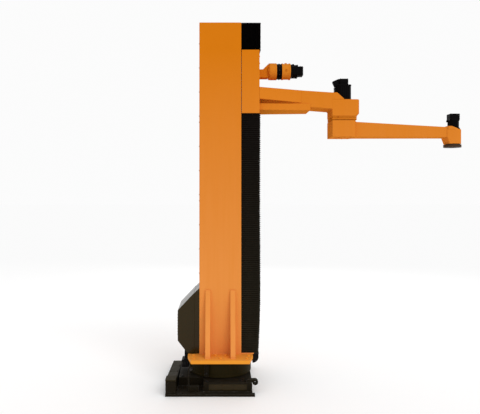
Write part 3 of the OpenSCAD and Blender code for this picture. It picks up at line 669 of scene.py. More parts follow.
def base():
    """Ground plate, switch post, lifting lugs, duct, and the frame with its seams, cover and bolts."""
    for node, width in (("ground_plate", 0.002), ("base_frame", 0.003), ("switch_post", 0.0015),
                        ("lifting_lugs", 0.003), ("cable_duct", 0.002)):
        eased(node, width)
    x0, y0, z0, x1, y1, z1 = span("base_frame")
    front = x1 - 0.004
    line = [(front, y1), (x0, y1), (x0, BAY_Y), (BAY_X, BAY_Y), (BAY_X, y0), (front, y0)]
    seams = [beads([(x, y, z0) for x, y in line], 0.0055)]
    lug_y = span("lifting_lugs")[4]
    for y in (lug_y - 0.04, lug_y):
        seams.append(mirrored(bead((x1 - 0.05, y, z1), (front, y, z1), 0.0045)))
    piece("base_weld_seams", join(*seams), "base", "dark_steel")

    left, right, near, foot, top = BAY_X + 0.045, x1 - 0.045, y0 - 0.003, z0 + 0.014, z1 - 0.012
    cover = slab((left, near, foot), (right, y0 + 0.002, top), "y", 0.006, 0.0012)
    xs = np.linspace(left + 0.014, right - 0.014, 4)
    heads = screws(0.0042, "y", -1, xs, [near], [foot + 0.011, top - 0.011])
    piece("frame_cover", join(cover, heads), "base", "olive_paint")
    far = rows_of(np.linspace(x0 + 0.05, x1 - 0.05, 5), [y1 - 0.0005], [z0 + 0.045])
    fixings("frame_side_bolts", copies(facing(hex_bolt(0.008), "y"), far), "base")
    spots = [(x0 + 0.03, y1 - 0.03, z1), (x0 + 0.03, BAY_Y + 0.03, z1), (BAY_X + 0.03, y0 + 0.03, z1),
             (x1 - 0.095, y0 + 0.05, z1), (x1 - 0.095, y1 - 0.05, z1)]
    fixings("frame_top_bolts", copies(hex_bolt(0.011), spots), "base")


def connection_block():
    """The block at the plate's corner, with a screwed cover on its near face, a blanked row of
    sockets on its outer face, and the sloping duct's lids."""
    x0, y0, z0, x1, y1, z1 = span("connection_block")
    near = y0 + 0.006
    block = slab((x0 + 0.0025, near, z0), (x1, y1 - 0.001, z1), "z", 0.005, 0.002)
    stand_in("connection_block_body", block, "connection_block")
    cap = span("block_cap")
    stand_in("connection_block_cap", slab(cap[:3], cap[3:], "z", 0.006, 0.0025), "block_cap", material=SKIRT)
    low, high = (x0 + 0.013, near - 0.0035, z0 + 0.012), (x1 - 0.006, near + 0.002, z1 - 0.012)
    cover = slab(low, high, "y", 0.004, 0.001)
    heads = screws(0.0025, "y", -1, [x0 + 0.019, x1 - 0.012], [near - 0.0035], [z0 + 0.019, z1 - 0.019])
    piece("connection_cover", join(cover, heads), "base", "dark_steel")
    spots = rows_of([x0 + 0.0026], [y0 + 0.036, y0 + 0.08], [z0 + 0.034, z0 + 0.074])
    piece("blanked_sockets", copies(facing(screw_cap(0.013), "x", -0.45), spots), "base", "motor_plastic")

    x0, y0, z0, x1, y1, z1 = span("cable_duct")
    start, end = np.array([y0, z1]), np.array([y1, z0 + 0.016])
    thick, count, gap = 0.003, 3, 0.004
    lids, heads = [], []
    for k in range(count):
        first = start + (end - start) * (k / count + gap)
        last = start + (end - start) * ((k + 1) / count - gap)
        section = [first, last, last + [0, thick], first + [0, thick]]
        lids.append(prism(section, x0 + 0.003, x1 - 0.003, "x", 0.001, 0.001))
        for share in (0.08, 0.92):
            y, z = first + (last - first) * share
            heads += [(x, y, z + thick) for x in (x0 + 0.011, x1 - 0.011)]
    piece("duct_lids", join(*lids, copies(cap_screw(COVER_SCREW), heads)), "base", "olive_paint", SKIRT)


def proximity_switch():
    """A threaded switch barrel in a clamp at the post's top. The thread is a ring profile whose
    radius swings by 0.4 mm once in each 1.5 mm."""
    x0, y0, _, _, _, z1 = span("switch_post")
    x, y, z, face, length = x0 + 0.023, y0 - 0.006, z1 - 0.016, x0 + 0.01, 0.058
    low, high = (face - 0.001, y0 + 0.006, z - 0.013), (face + 0.026, y0 + 0.034, z + 0.013)
    clamp = slab(low, high, "x", 0.003, 0.0012)
    heads = screws(0.0028, "x", 1, [face + 0.026], [y0 + 0.011, y0 + 0.029], [z])
    piece("switch_clamp", join(clamp, heads), "base", "black_paint")
    h = np.linspace(0, length, 160)
    thread = np.stack([0.0085 + 0.0004 * np.sin(FULL_TURN * h / 0.0015), h], -1)
    barrel = turned(np.concatenate([[(0, 0)], thread, [(0, length)]]), (x, y, z), "y", 24)
    nuts = copies(facing(skin_nut(0.0135, 0.004), "y"), [(x, y0 + 0.0015, z), (x, y0 + 0.0345, z)])
    piece("switch_barrel", join(barrel, nuts), "base", "bright_steel", SCREW)
    tip = [(0, 0), (0.0075, 0), (0.0078, 0.002), (0.0072, 0.003), (0, 0.003)]
    piece("switch_face", turned(tip, (x, y + length, z), "y", 24), "base", "motor_plastic")


# -------- slewing table and column foot


def slewing_skirt():
    """Skirt as a ring profile with a rolled foot, a pressed groove and a band of small screws."""
    _, _, z0, outer, _, z1 = span("slew_skirt")
    inner, dent, groove, z1 = outer - 0.005, outer - 0.0022, outer - 0.0015, z1 - 0.0005
    outline = [(inner, z0), (outer, z0), (outer, z0 + 0.016), (dent, z0 + 0.019), (dent, z0 + 0.025),
               (outer, z0 + 0.028), (outer, z1 - 0.04), (groove, z1 - 0.038), (groove, z1 - 0.034),
               (outer, z1 - 0.032), (outer, z1), (inner, z1)]
    ring, _ = rounded(outline, [0.001, 0.0025] + [0.001] * 8 + [0.002, 0.001], 3)
    stand_in("slew_skirt_shell", turned(ring, (0, 0, 0), "z", 160), "slew_skirt", material=SKIRT)
    head = facing(cap_screw(0.0045), "x", at=(outer - 0.0005, 0, z1 - 0.016))
    fixings("slew_skirt_screws", spun(head, np.radians(np.arange(15, 360, 30))), "column")
    eased("stop_dog", 0.002)
    x0, y0, z0, x1, _, z1 = span("stop_dog")
    heads = screws(0.007, "y", -1, [(x0 + x1) / 2], [y0], [z0 + 0.03, z1 - 0.03])
    fixings("stop_dog_screws", heads, "column")


def column_foot():
    """Foot plate, ribs, their weld seams, and the bolts into the turntable."""
    # The foot plate in the lighter orange: painted light on its top.
    eased("foot_plate", 0.003, PAINTED_LIT_ORANGE)
    eased("column_ribs", 0.0035)
    x0, y0, _, x1, wall, _ = span("column_box")
    plate_y, z = span("foot_plate")[4:]
    rib_x, rib_y, rib_z = span("column_ribs")[3:]
    around = rectangle(x0, x1, y0, wall)
    seams = [beads([(x, y, z) for x, y in around + around[:1]], 0.005)]
    half = 0.021
    for x in (half - rib_x, rib_x - half):
        first, last = x - half, x + half
        for side in (first, last):
            seams.append(mirrored(bead((side, wall, z), (side, wall, rib_z - 0.002), 0.0035)))
            seams.append(mirrored(bead((side, wall, z), (side, rib_y - 0.004, z))))
        seams.append(mirrored(bead((first, rib_y, z), (last, rib_y, z))))
        seams.append(mirrored(bead((first, wall + 0.002, rib_z), (last, wall + 0.002, rib_z), 0.003)))
    piece("column_weld_seams", join(*seams), "column")
    side = plate_y - 0.055
    spots = [(x, y, z) for y in (-side, side) for x in (-0.222, 0, 0.222)]
    spots += [(x, y, z) for y in (-0.245, 0.245) for x in (-0.228, -0.045, 0.045, 0.24)]
    # The bolts in the same lighter orange: painted light.
    piece("foot_plate_bolts", copies(hex_bolt(0.012), spots), "column", material=PAINTED_LIT_ORANGE)


def column():
    """Column box, cap plate and rear panels."""
    wall, y0, z0, x1, y1, end = span("column_box")
    stand_in("column_shell", slab((wall, y0, z0), (x1, y1, end + 0.001), "z", 0.007, 0.0015, 5), "column_box")
    x0, y0, z0, x1, y1, z1 = span("column_cap")
    top = z1 - COVER_SCREW
    heads = screws(COVER_SCREW, "z", 1, [x0 + 0.022, 0, x1 - 0.022], [y0 + 0.022, y1 - 0.022], [top])
    plate = slab((x0, y0, z0), (x1, y1, top), "z", 0.007, 0.002)
    stand_in("column_top_plate", join(plate, heads), "column_cap")
    count = 3
    first = span("drive_cover")[5] + 0.09
    height = (end - 0.12 - first) / count
    back, half = wall - 0.0025, 0.125
    side = half - 0.013
    panels, heads = [], []
    for k in range(count):
        foot = first + k * height
        top = foot + height - 0.014
        panels.append(slab((back, -half, foot), (wall + 0.002, half, top), "x", 0.01, 0.001))
        heads.append(screws(0.004, "x", -1, [back], [-side, side], np.linspace(foot + 0.02, top - 0.02, 4)))
    piece("rear_panels", join(*panels), "column")
    fixings("rear_panel_screws", join(*heads), "column")


# How far the cover's top comes down and its foot comes up, and how long its underside stays level.
COVER_TOP_SLOPE, COVER_FOOT_SLOPE, COVER_UNDERSIDE = 0.197, 0.109, 0.1


def drive_cover():
    """Pressed cover over the slewing motor: its side outline carried across with wide rims, standing
    off a narrower collar, with louvres pressed into the back."""
    back, y0, z0, wall, y1, z1 = span("drive_cover")
    seam, inset = -0.2215, 0.003
    slope = COVER_TOP_SLOPE / (wall - back)
    outline = [(seam, z0), (seam, z1 - (wall - seam) * slope), (back, z1 - COVER_TOP_SLOPE),
               (back, z0 + COVER_FOOT_SLOPE), (wall - COVER_UNDERSIDE, z0)]
    shell = prism(outline, y0, y1, "y", [0.004, 0.004, 0.014, 0.014, 0.01], 0.004, 6)
    stand_in("drive_cover_shell", shell, "drive_cover")
    inner, outer = wall + 0.004, seam - 0.002
    collar = [(inner, z0 + inset), (inner, z1 - inset), (outer, z1 - (wall - outer) * slope - inset),
              (outer, z0 + inset)]
    band = prism(collar, y0 + inset, y1 - inset, "y", 0.003, 0.002)
    piece("drive_cover_collar", band, "column", "olive_paint")
    heads = screws(0.004, "y", 1, [seam - 0.018], [y1], np.linspace(z0 + 0.05, z1 - 0.1, 5))
    piece("drive_cover_screws", mirrored(heads), "column", "dark_steel", OLIVE)
    pitch, middle, half = 0.024, 0.095, 0.06
    louvres = []
    for z in np.arange(z0 + COVER_FOOT_SLOPE + 0.04, z1 - COVER_TOP_SLOPE - 0.05, pitch):
        blade = [(back + 0.003, z), (back + 0.003, z + 0.016), (back - 0.0012, z + 0.012),
                 (back - 0.008, z + 0.0015)]
        louvres += [prism(blade, y - half, y + half, "y", 0.0012, 0.001, 3) for y in (-middle, middle)]
    piece("drive_cover_louvres", join(*louvres), "column", "olive_paint")


def slewing_gear_unit():
    """Gear unit under the cover: the block with cooling fins, its neck with a bolted flange."""
    x0, y0, z0, x1, y1, _ = span("slew_gear_unit")
    cover_back, _, end, wall, _, _ = span("drive_cover")
    foot_x = wall - COVER_UNDERSIDE
    slope = COVER_FOOT_SLOPE / (foot_x - cover_back)
    top, back, front, half, fin = 0.191, -0.316, -0.277, 0.046, 0.003
    neck = [(back, top - 0.01), (front, top - 0.01), (front, end), (foot_x, end),
            (back, end + (foot_x - back) * slope)]
    body = [slab((x0, y0, z0), (x1 - 0.0048, y1, top), "z", 0.008, 0.003),
            prism(neck, -half, half, "y", 0.0012, 0.001)]
    for z in np.linspace(z0 + 0.012, top - 0.014, 5):
        body.append(slab((x0 - fin, y0 - fin, z), (x1 - 0.008, y1 + fin, z + fin), "z", 0.01, 0.001))
    body.append(slab((back - 0.006, -half - 0.01, top - 0.001), (front - 0.001, half + 0.01, top + 0.01), "z",
                     0.006, 0.0015))
    stand_in("slew_gear_body", join(*body), "slew_gear_unit")
    heads = screws(0.004, "z", 1, [back + 0.006, front - 0.01], [-half - 0.003, half + 0.003], [top + 0.01])
    fixings("slew_gear_screws", heads, "column")


# -------- bellows


# How far a fold of the bellows is drawn in.
FOLD_DEPTH = 0.013


def bellows_path(half, front, back, corner, count):
    """Places and outward normals along a U seen from above: straight out from the column, round a
    corner, across the front and back again. The same arc length lies between all the places."""
    quarter = corner * QUARTER_TURN
    side, across = front - corner - back, 2 * (half - corner)
    total = 2 * side + 2 * quarter + across

    def heading(s):
        """The path's direction at arc length s, which swings evenly by a quarter turn at each corner."""
        first, second = (s - side) / corner, (s - side - quarter - across) / corner
        return np.clip(first, 0, QUARTER_TURN) + np.clip(second, 0, QUARTER_TURN)

    s = np.linspace(0, total, count)
    steps = 4000
    fine = np.linspace(0, total, steps + 1)
    middle = (heading(fine)[1:] + heading(fine)[:-1]) / 2
    x, y = [np.concatenate([[0], np.cumsum(wave(middle)) * (total / steps)]) for wave in (np.cos, np.sin)]
    places = np.stack([back + np.interp(s, fine, x), -half + np.interp(s, fine, y)], -1)
    normals = np.stack([np.sin(heading(s)), -np.cos(heading(s))], -1)
    return places, normals, s / total


def pleated(node, folds, seed, taper):
    """Pleated sleeve: the U carried upwards, drawn in by the fold depth times
    acos(0.96 cos(2 pi f)) / pi, a triangle wave with rounded tips, where f counts the folds. Each
    fold is a few percent deeper or shallower than the next, and the front leans in by taper over
    the lowest half metre."""
    x0, y0, z0, x1, _, z1 = span(node)
    f = np.linspace(0, folds, folds * 4 + 1)
    corner, columns, widest, clearance, swing = 0.026, 64, 0.1935, 0.0013, 0.0007
    places, normals, s = bellows_path(-y0, x1, x0, corner, columns)
    rng = np.random.default_rng(seed)
    knots = np.arange(folds + 1)
    depth = FOLD_DEPTH * (1 + np.interp(f, knots, rng.uniform(-0.06, 0.06, folds + 1)))
    drawn = depth * (np.arccos(0.96 * np.cos(FULL_TURN * f)) - math.acos(0.96)) / math.pi
    phase = np.interp(f, knots, rng.uniform(0, 1, folds + 1))
    sway = swing * np.sin(FULL_TURN * (2 * s[None, :] + phase[:, None]))
    flat = places[None] - (drawn[:, None] + sway + clearance)[..., None] * normals[None]
    z = np.broadcast_to((z0 + (z1 - z0) * f / folds)[:, None], flat.shape[:2])
    lean = taper * np.clip((z0 + 0.5 - z) / 0.5, 0, 1) ** 1.5
    x = flat[..., 0] - lean * (flat[..., 0] - x0) / (x1 - x0)
    return sheet(np.stack([x, np.clip(flat[..., 1], -widest, widest), z], -1))


def bellows():
    """The two pleated bellows, both fixed in shape: the lower one rides on the body of its CAD node,
    the upper one on no body."""
    x0, _, z0, x1, _, z1 = span("lower_bellows")
    sleeve = pleated("lower_bellows", 116, 11, x1 - span("bellows_foot")[3])
    lower = stand_in("lower_bellows_cloth", sleeve, "lower_bellows", thickness=0.0012)
    length = z1 - z0
    travel = -min(next(j["range_m"] for j in RECORD["behaviour"]["joints"] if j["name"] == "lift"))
    (length - travel) / length
    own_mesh(lower)
    _, _, z0, x1, _, z1 = span("upper_bellows")
    upper = piece("upper_bellows_cloth", pleated("upper_bellows", 80, 12, 0.0), None, "bellows_cloth",
                  stands_for=["upper_bellows"], thickness=0.001)
    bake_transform(upper)
    points = np.empty(len(upper.data.vertices) * 3)
    upper.data.vertices.foreach_get("co", points)


def bellows_ends():
    """The flange and the curved lip that guards the bellows' foot, and the plate over its head. The
    lip is a sheet whose section drops and then swings back in a quarter circle."""
    _, y0, z0, x1, y1, z1 = span("bellows_foot")
    top = span("foot_plate")[5]
    bend, half, wall, edge = 0.052, 0.154, 0.006, 0.288
    flange = slab((span("column_box")[3], y0, top), (edge, y1, z1), "z", 0.003, 0.0015)
    piece("bellows_flange", flange, "column")
    lip = slab((edge - 0.001, y0, top), (x1, y1, z1), "z", 0.003, 0.0015)
    piece("bellows_flange_lip", lip, "column", "black_paint")
    centre = np.array([x1 - bend, z0 + bend])
    a = np.linspace(-QUARTER_TURN, 0, 14)
    arc = np.stack([np.cos(a), np.sin(a)], -1)
    reach, inner = bend - wall / 2, bend - wall
    section = np.concatenate([[(centre[0] + reach, top)], (centre + reach * arc)[::-1]])
    grid = np.stack(np.broadcast_arrays(section[:, :1], np.linspace(-half, half, 9), section[:, 1:]), -1)
    stand_in("bellows_guard", sheet(grid), "bellows_foot", thickness=wall)
    outline = np.concatenate([centre + inner * arc, [(centre[0] + inner, top), (centre[0], top)]])
    cheeks = mirrored(prism(outline, half - wall, half, "y", 0.0006, 0.0005, 2))
    piece("bellows_guard_cheeks", cheeks, "column", "black_paint")

    x0, y0, z0, x1, y1, z1 = span("bellows_head")
    top = z1 - COVER_SCREW
    heads = screws(COVER_SCREW, "z", 1, [x0 + 0.03, x1 - 0.02], [y0 + 0.02, 0, y1 - 0.02], [top])
    plate = slab((x0, y0, z0), (x1, y1, top), "z", 0.01, 0.002)
    stand_in("bellows_head_plate", join(plate, heads), "bellows_head")


# -------- carriage and upper arm


def carriage():
    """Carriage as one U seen from above, reaching round the rails, with its end plates and the
    bearing screws."""
    _, _, z0, front, half, z1 = span("carriage_box")
    lip = span("carriage_cheeks")[0] - 0.0022
    wall = 0.012
    inner, side = front - wall, half - wall
    outline = [(lip, -half), (front, -half), (front, half), (lip, half),
               (lip, side), (inner, side), (inner, -side), (lip, -side)]
    shell = prism(outline, z0, z1, "z", [0.001, 0.007, 0.007, 0.001, 0.001, 0.004, 0.004, 0.001], 0.001, 5)
    stand_in("carriage_shell", shell, "carriage_box", "carriage_cheeks")
    rail_x, rail_y, _ = span("guide_rails")[3:]
    first, last, out = rail_x + 0.006, inner + 0.001, side + 0.001
    ends = [slab((first, -out, z), (last, out, z + 0.008), "z", 0.003, 0.001) for z in (z0 + 0.002, z1 - 0.01)]
    piece("carriage_end_plates", join(*ends), "carriage")
    y, z = rail_y - 0.017, z1 - 0.075
    heads = screws(0.0065, "x", 1, [front], [y - 0.026, y + 0.026], [z - 0.03, z + 0.03])
    piece("carriage_screws", mirrored(heads), "carriage")


def upper_arm():
    """Beam with its stiffener, wings and weld seams."""
    x0, y0, z0, x1, half, z1 = span("upper_arm_beam")
    level, back, front = z0 + 0.014, x0 - 0.003, x1 + 0.003
    outline = [(back, level), (x0 + 0.463, level), (front, z0), (front, z1 - 0.05), (x0 + 0.374, z1 - 0.032),
               (back, z1)]
    shell = prism(outline, y0, half, "y", [0.004, 0.05, 0.004, 0.004, 0.05, 0.004], 0.005, 6)
    stand_in("upper_arm_shell", shell, "upper_arm_beam")
    eased("arm_stiffener", 0.0015)
    eased("arm_wings", 0.0014)
    rear, _, under, tip, side, brim = span("arm_stiffener")
    root, _, wing_foot, wing_tip, out, wing_top = span("arm_wings")
    out, foot, end = out - 0.006, wing_foot + 0.024, x1 - 0.001
    seams = [
        mirrored(beads([(root, out, wing_top), (root, half, wing_top), (wing_tip, half, wing_top - 0.017),
                        (wing_tip, half, wing_foot), (root, half, foot)], 0.0035)),
        mirrored(bead((root, half, foot), (root, out, foot))),
        mirrored(bead((x0, half, brim), (x0, half, foot - 0.002), 0.0045)),
        mirrored(bead((x0, side, under), (x0, side, brim))),
        bead((x0, -half + 0.004, z1), (x0, half - 0.004, z1), 0.0045),
        mirrored(bead((rear, half, brim), (tip, half, brim), 0.003)),
        bead((tip, -half, level), (tip, half, level)),
        bead((end, -half, z0), (end, half, z0)),
    ]
    piece("upper_arm_seams", join(*seams), "carriage")


# Radius of the upright corners of the elbow housing and the forearm's root.
CORNER = 0.036


def elbow():
    """Elbow housing, cheeks, bearing ring and deck. The housing is its outline seen from above at
    growing heights, drawn back at the front of the lowest 25 mm."""
    x0, y0, z0, x1, y1, z1 = span("elbow_housing")
    cut = 0.02
    levels = ((cut, 0.002, z0), (cut - 0.001, 0, z0 + 0.002), (0, 0, z0 + 0.024), (0, 0, z1 - 0.003),
              (0, 0.0009, z1 - 0.0009), (0, 0.003, z1))
    radii = [0.003, CORNER, CORNER, 0.003]
    rows = [(rectangle(x0, x1 - back, y0, y1), radii, inset, z) for back, inset, z in levels]
    stand_in("elbow_housing_shell", loft(rows, "z", 9), "elbow_housing")
    eased("elbow_cheeks", 0.002)
    x0, _, _, x1, y1, _ = span("elbow_cheeks")
    seam = bead((x0 + 0.002, y1 - 0.012, z1), (x1, y1 - 0.012, z1), 0.003)
    piece("elbow_seams", mirrored(seam), "carriage")

    x0, y0, z0, x1, y1, z1 = span("elbow_bearing")
    radii = [0.004, CORNER - 0.007, CORNER - 0.007, 0.004]
    levels = ((0.0015, z0), (0, z0 + 0.0015), (0, z0 + 0.012), (0.0035, z0 + 0.014), (0.0035, z0 + 0.017),
              (0, z0 + 0.019), (0, z1))
    collar = loft([(rectangle(x0, x1, y0, y1), radii, inset, z) for inset, z in levels], "z", 9)
    stand_in("elbow_bearing_collar", collar, "elbow_bearing", material=ORANGE_CASTING)
    plug = screws(0.005, "y", -1, [x0 + 0.05], [y0], [z0 + 0.024])
    piece("grease_plug", plug, "carriage", material=ORANGE_CASTING)


def outline_of(node, rear, front):
    """A turned node's middle and start along x, its radius, and its outer line: each pair of rear and
    front is how far a point lies inside the radius and how far it lies from that end."""
    x0, _, z0, x1, _, z1 = span(node)
    r = (z1 - z0) / 2
    line = [(r - inset, x0 + step) for inset, step in rear]
    line += [(r - inset, x1 - step) for inset, step in front]
    return (x0 + x1) / 2, x0, r, line


def cut_corners(points, radius):
    """An open line of points with its inner corners cut: each inner point becomes two, a radius
    before it and a radius after it."""
    p = np.asarray(points, float)
    before = unit(p[:-2] - p[1:-1]) * radius + p[1:-1]
    after = unit(p[2:] - p[1:-1]) * radius + p[1:-1]
    return np.concatenate([p[:1], np.stack([before, after], 1).reshape(-1, 2), p[-1:]])


def lift_drive():
    """Lifting drive: the bracket eased from its CAD node, and bell, gear unit and adapter as profiles turned
    round one axis.
    """
    eased("lift_bracket", 0.003)
    _, _, z0, _, _, z1 = span("lift_bell")
    axis = (0, 0, (z0 + z1) / 2)

    def solid(line):
        """The outer line closed to the axis at both ends and turned round it."""
        return turned([(0, line[0][1]), *line, (0, line[-1][1])], axis, "x")

    rear = [(0.014, -0.001), (0.014, 0), (0.001, 0.0135), (0, 0.017)]
    front = [(0, 0.02), (0.0015, 0.0185), (0.0015, 0.0165), (0, 0.015), (0, 0.001), (0.001, 0)]
    _, x0, r, line = outline_of("lift_bell", rear, front)
    rib = slab((-0.004, r - 0.012, x0 + 0.004), (0.004, r - 0.0005, x0 + 0.02), "z", 0.002, 0.001)
    ribs = facing(spun(rib, angles(8) + FULL_TURN / 16), "x", at=axis)
    stand_in("lift_bell_shell", join(solid(line), ribs), "lift_bell", material=DRIVE_CASTING)
    step = [(0, 0), (0, 0.009), (0.003, 0.01), (0.003, 0.013), (0, 0.014)]
    middle, _, r, line = outline_of("lift_gear_unit", step, step[::-1])
    piece("lift_gear_body", solid(line), "carriage", "motor_black", stands_for=["lift_gear_unit"])
    head = facing(cap_screw(0.0048), "y", at=(0, r - 0.0008, middle))
    fixings("lift_gear_screws", facing(spun(head, angles(12)), "x", at=axis), "carriage", "motor_black")
    middle, _, r, line = outline_of("lift_adapter", [(0, 0), (0, 0.011), (0.004, 0.014)],
                                    [(0.004, 0.015), (0, 0.012), (0, 0)])
    stand_in("lift_adapter_body", solid(cut_corners(line, 0.0012)), "lift_adapter", material=DRIVE_CASTING)
    plug = facing(cap_screw(0.011), "y", at=(0, r - 0.008, middle))
    plugs = facing(spun(plug, (QUARTER_TURN, 0)), "x", at=axis)
    piece("lift_adapter_plugs", plugs, "carriage", material=DRIVE_CASTING)


# -------- servo motors


def octagon(h, c):
    """A square of half width h with its corners cut by c."""
    d = h - c
    return [(h, -d), (h, d), (d, h), (-d, h), (-h, d), (-h, -d), (-d, -h), (d, -h)]


def square(h, z0, z1, radius, edge):
    """A block of half width h round the z axis."""
    return slab((-h, -h, z0), (h, h, z1), "z", radius, edge)


def servo_motor(label, axis, sockets):
    """A servo motor made standing on its flange along +z and then turned to its axis: a square
    flange with four screws, a body with cut corners and shallow ribs on its flats, an end shield,
    and the encoder cover with its own screws. sockets gives for each connector its side (an angle
    round the axis), height, radius, length, lean and distance from the axis."""
    motor, encoder = label + "_motor", label + "_encoder"
    body = body_of[motor]
    x0, y0, z0, x1, y1, z1 = span(motor)
    half = (y1 - y0) / 2
    if axis == "x":
        start, length, end = x0, x1 - x0, span(encoder)[3] - x0
        foot = (start, (y0 + y1) / 2, (z0 + z1) / 2)
    else:
        start, length, end = z0, z1 - z0, span(encoder)[5] - z0
        foot = (x1 - half, (y0 + y1) / 2, start)

    parts = [square(half, 0, 0.011, 0.009, 0.0012),
             prism(octagon(half - 0.0025, 0.019), 0.01, length - 0.01, "z", 0.004, 0.001),
             prism(octagon(half - 0.0005, 0.013), length - 0.011, length, "z", 0.006, 0.002)]
    for x in np.linspace(-half + 0.028, half - 0.028, 5):
        for y in (0.0026 - half, half - 0.0026):
            for u, v, du, dv in ((x, y, 0.0018, 0.0022), (y, x, 0.0022, 0.0018)):
                low, high = (u - du, v - dv, 0.01), (u + du, v + dv, length - 0.01)
                parts.append(slab(low, high, "z", 0.0012, 0.0005, 2))
    stand_in(motor + "_body", facing(join(*parts), axis, at=foot), motor)
    at = half - 0.0095
    heads = screws(0.0046, "z", 1, [-at, at], [-at, at], [0.0108])
    fixings(motor + "_screws", facing(heads, axis, at=foot), body, slot_of[motor])

    _, y0, _, _, y1, _ = span(encoder)
    half = (y1 - y0) / 2
    cover = join(square(half, length - 0.001, length + 0.016, 0.01, 0.0015),
                 square(half - 0.0015, length + 0.014, length + 0.018, 0.009, 0.0008),
                 square(half, length + 0.017, end - 0.0025, 0.01, 0.004),
                 square(half - 0.012, end - 0.006, end - 0.0005, 0.008, 0.0012))
    stand_in(encoder + "_cover", facing(cover, axis, at=foot), encoder)
    at = half - 0.0075
    heads = screws(0.0028, "z", 1, [-at, at], [-at, at], [end - 0.0032])
    fixings(encoder + "_screws", facing(heads, axis, at=foot), body, slot_of[encoder])

    plugs = []
    for side, height, radius, reach, lean, inner in sockets:
        points, faces = connector(radius, reach)
        c, s = math.cos(lean), math.sin(lean)
        leaned = points @ np.array([[c, 0, -s], [0, 1, 0], [s, 0, c]]) + [inner, 0, height]
        plugs.append(spun((leaned, faces), [side]))
    piece(motor + "_sockets", facing(join(*plugs), axis, at=foot), body, slot_of[encoder], PLASTIC)


def motors():
    """The three servo motors, and the wedge-shaped plug on the elbow's encoder."""
    servo_motor("lift", "x", [(QUARTER_TURN, 0.03, 0.011, 0.018, 0.35, 0.05),
                              (QUARTER_TURN, 0.095, 0.008, 0.012, 0.3, 0.038)])
    servo_motor("elbow", "z", [(QUARTER_TURN, 0.1, 0.013, 0.034, 0, 0.056)])
    servo_motor("wrist", "z", [(math.pi, 0.074, 0.009, 0.013, 0, 0.048),
                               (QUARTER_TURN, 0.052, 0.009, 0.022, 0, 0.047)])
    x0, y0, z0, x1, y1, foot = span("elbow_motor")
    left = x1 - (y1 - y0)
    tip, inner = span("elbow_encoder")[0], left + 0.03
    plug = [(tip, foot + 0.024), (tip + 0.017, foot - 0.014), (inner, foot - 0.014), (inner, foot + 0.057),
            (tip + 0.051, foot + 0.057), (tip, foot + 0.035)]
    piece("elbow_encoder_plug", prism(plug, -0.016, 0.016, "y", 0.003, 0.002), "carriage", "motor_plastic")
    z0, z1 = z0 + 0.018, foot - 0.018
    box = slab((x0, -0.025, z0), (left + 0.006, 0.025, z1), "x", 0.004, 0.002)
    heads = screws(0.0022, "x", -1, [x0], [-0.019, 0.019], [z0 + 0.006, z1 - 0.006])
    piece("elbow_terminal_box", join(box, heads), "carriage", "motor_black")


# -------- forearm and wrist


# Half the width and the height of the forearm at its tip.
TIP_HALF, TIP_HEIGHT = 0.068, 0.09


def forearm():
    """Root block under the elbow, with its round cover, and the tapering beam: a rounded section
    carried outwards while it narrows and its top comes down."""
    x0, _, z0, root, y1, z1 = span("forearm_root")
    block = prism(rectangle(x0, root, -y1, y1), z0, z1, "z", [0.005, CORNER, CORNER, 0.005], 0.003, 9)
    stand_in("forearm_root_shell", block, "forearm_root")
    shaft = span("elbow_shaft")
    middle, lower = (shaft[0] + shaft[3]) / 2, z0 - 0.003
    cover = turned([(0, lower), (0.08, lower), (0.082, z0 - 0.002), (0.082, z0 + 0.001), (0, z0 + 0.001)],
                   (middle, 0, 0))
    spots = [(middle + 0.068 * math.cos(a), 0.068 * math.sin(a), lower) for a in angles(8)]
    heads = copies(facing(cap_screw(COVER_SCREW), "z", -1), spots)
    piece("elbow_lower_cover", join(cover, heads), "forearm")

    x0, _, z0, x1, half, z1 = span("forearm_beam")
    ends = ((x0 - 0.005, half, z1), (x1 + 0.006, TIP_HALF, z0 + TIP_HEIGHT))
    rows = [(rectangle(-side, side, z0, top), 0.005, 0, x) for x, side, top in ends]
    stand_in("forearm_shell", loft(rows, "x", 5), "forearm_beam")
    top = z1 - 0.0005
    seams = [mirrored(bead((root, half, z0 + 0.005), (root, half, z1 - 0.002))),
             bead((root, -half, top), (root, half, top))]
    piece("forearm_seams", join(*seams), "forearm")


def wrist_cheek(left, deck, top, half):
    """One cheek beside the wrist motor: its section is carried forwards while the outer side follows
    the housing's round front, sqrt(half^2 - x^2) past the wrist axis, and the top slopes to the deck."""
    level, length, inner = 0.041, 0.106, half - 0.01
    x = np.concatenate([np.linspace(0.004, level, 4), np.linspace(level, length, 15)[1:]])
    outer = np.sqrt(half ** 2 - np.clip(x - half, 0, None) ** 2)
    height = np.interp(x, [0, level, length], [top, top, deck + 0.0008])
    low = np.full(len(x), deck - 0.002)
    round_off = np.minimum(0.0015, (height - deck) / 2)
    y = np.stack([outer, outer, outer - round_off, inner + 0 * x, inner + 0 * x], 1)
    z = np.stack([low, height - round_off, height, height, low], 1)
    return skin(np.stack([np.broadcast_to((left + x)[:, None], y.shape), y, z], -1))


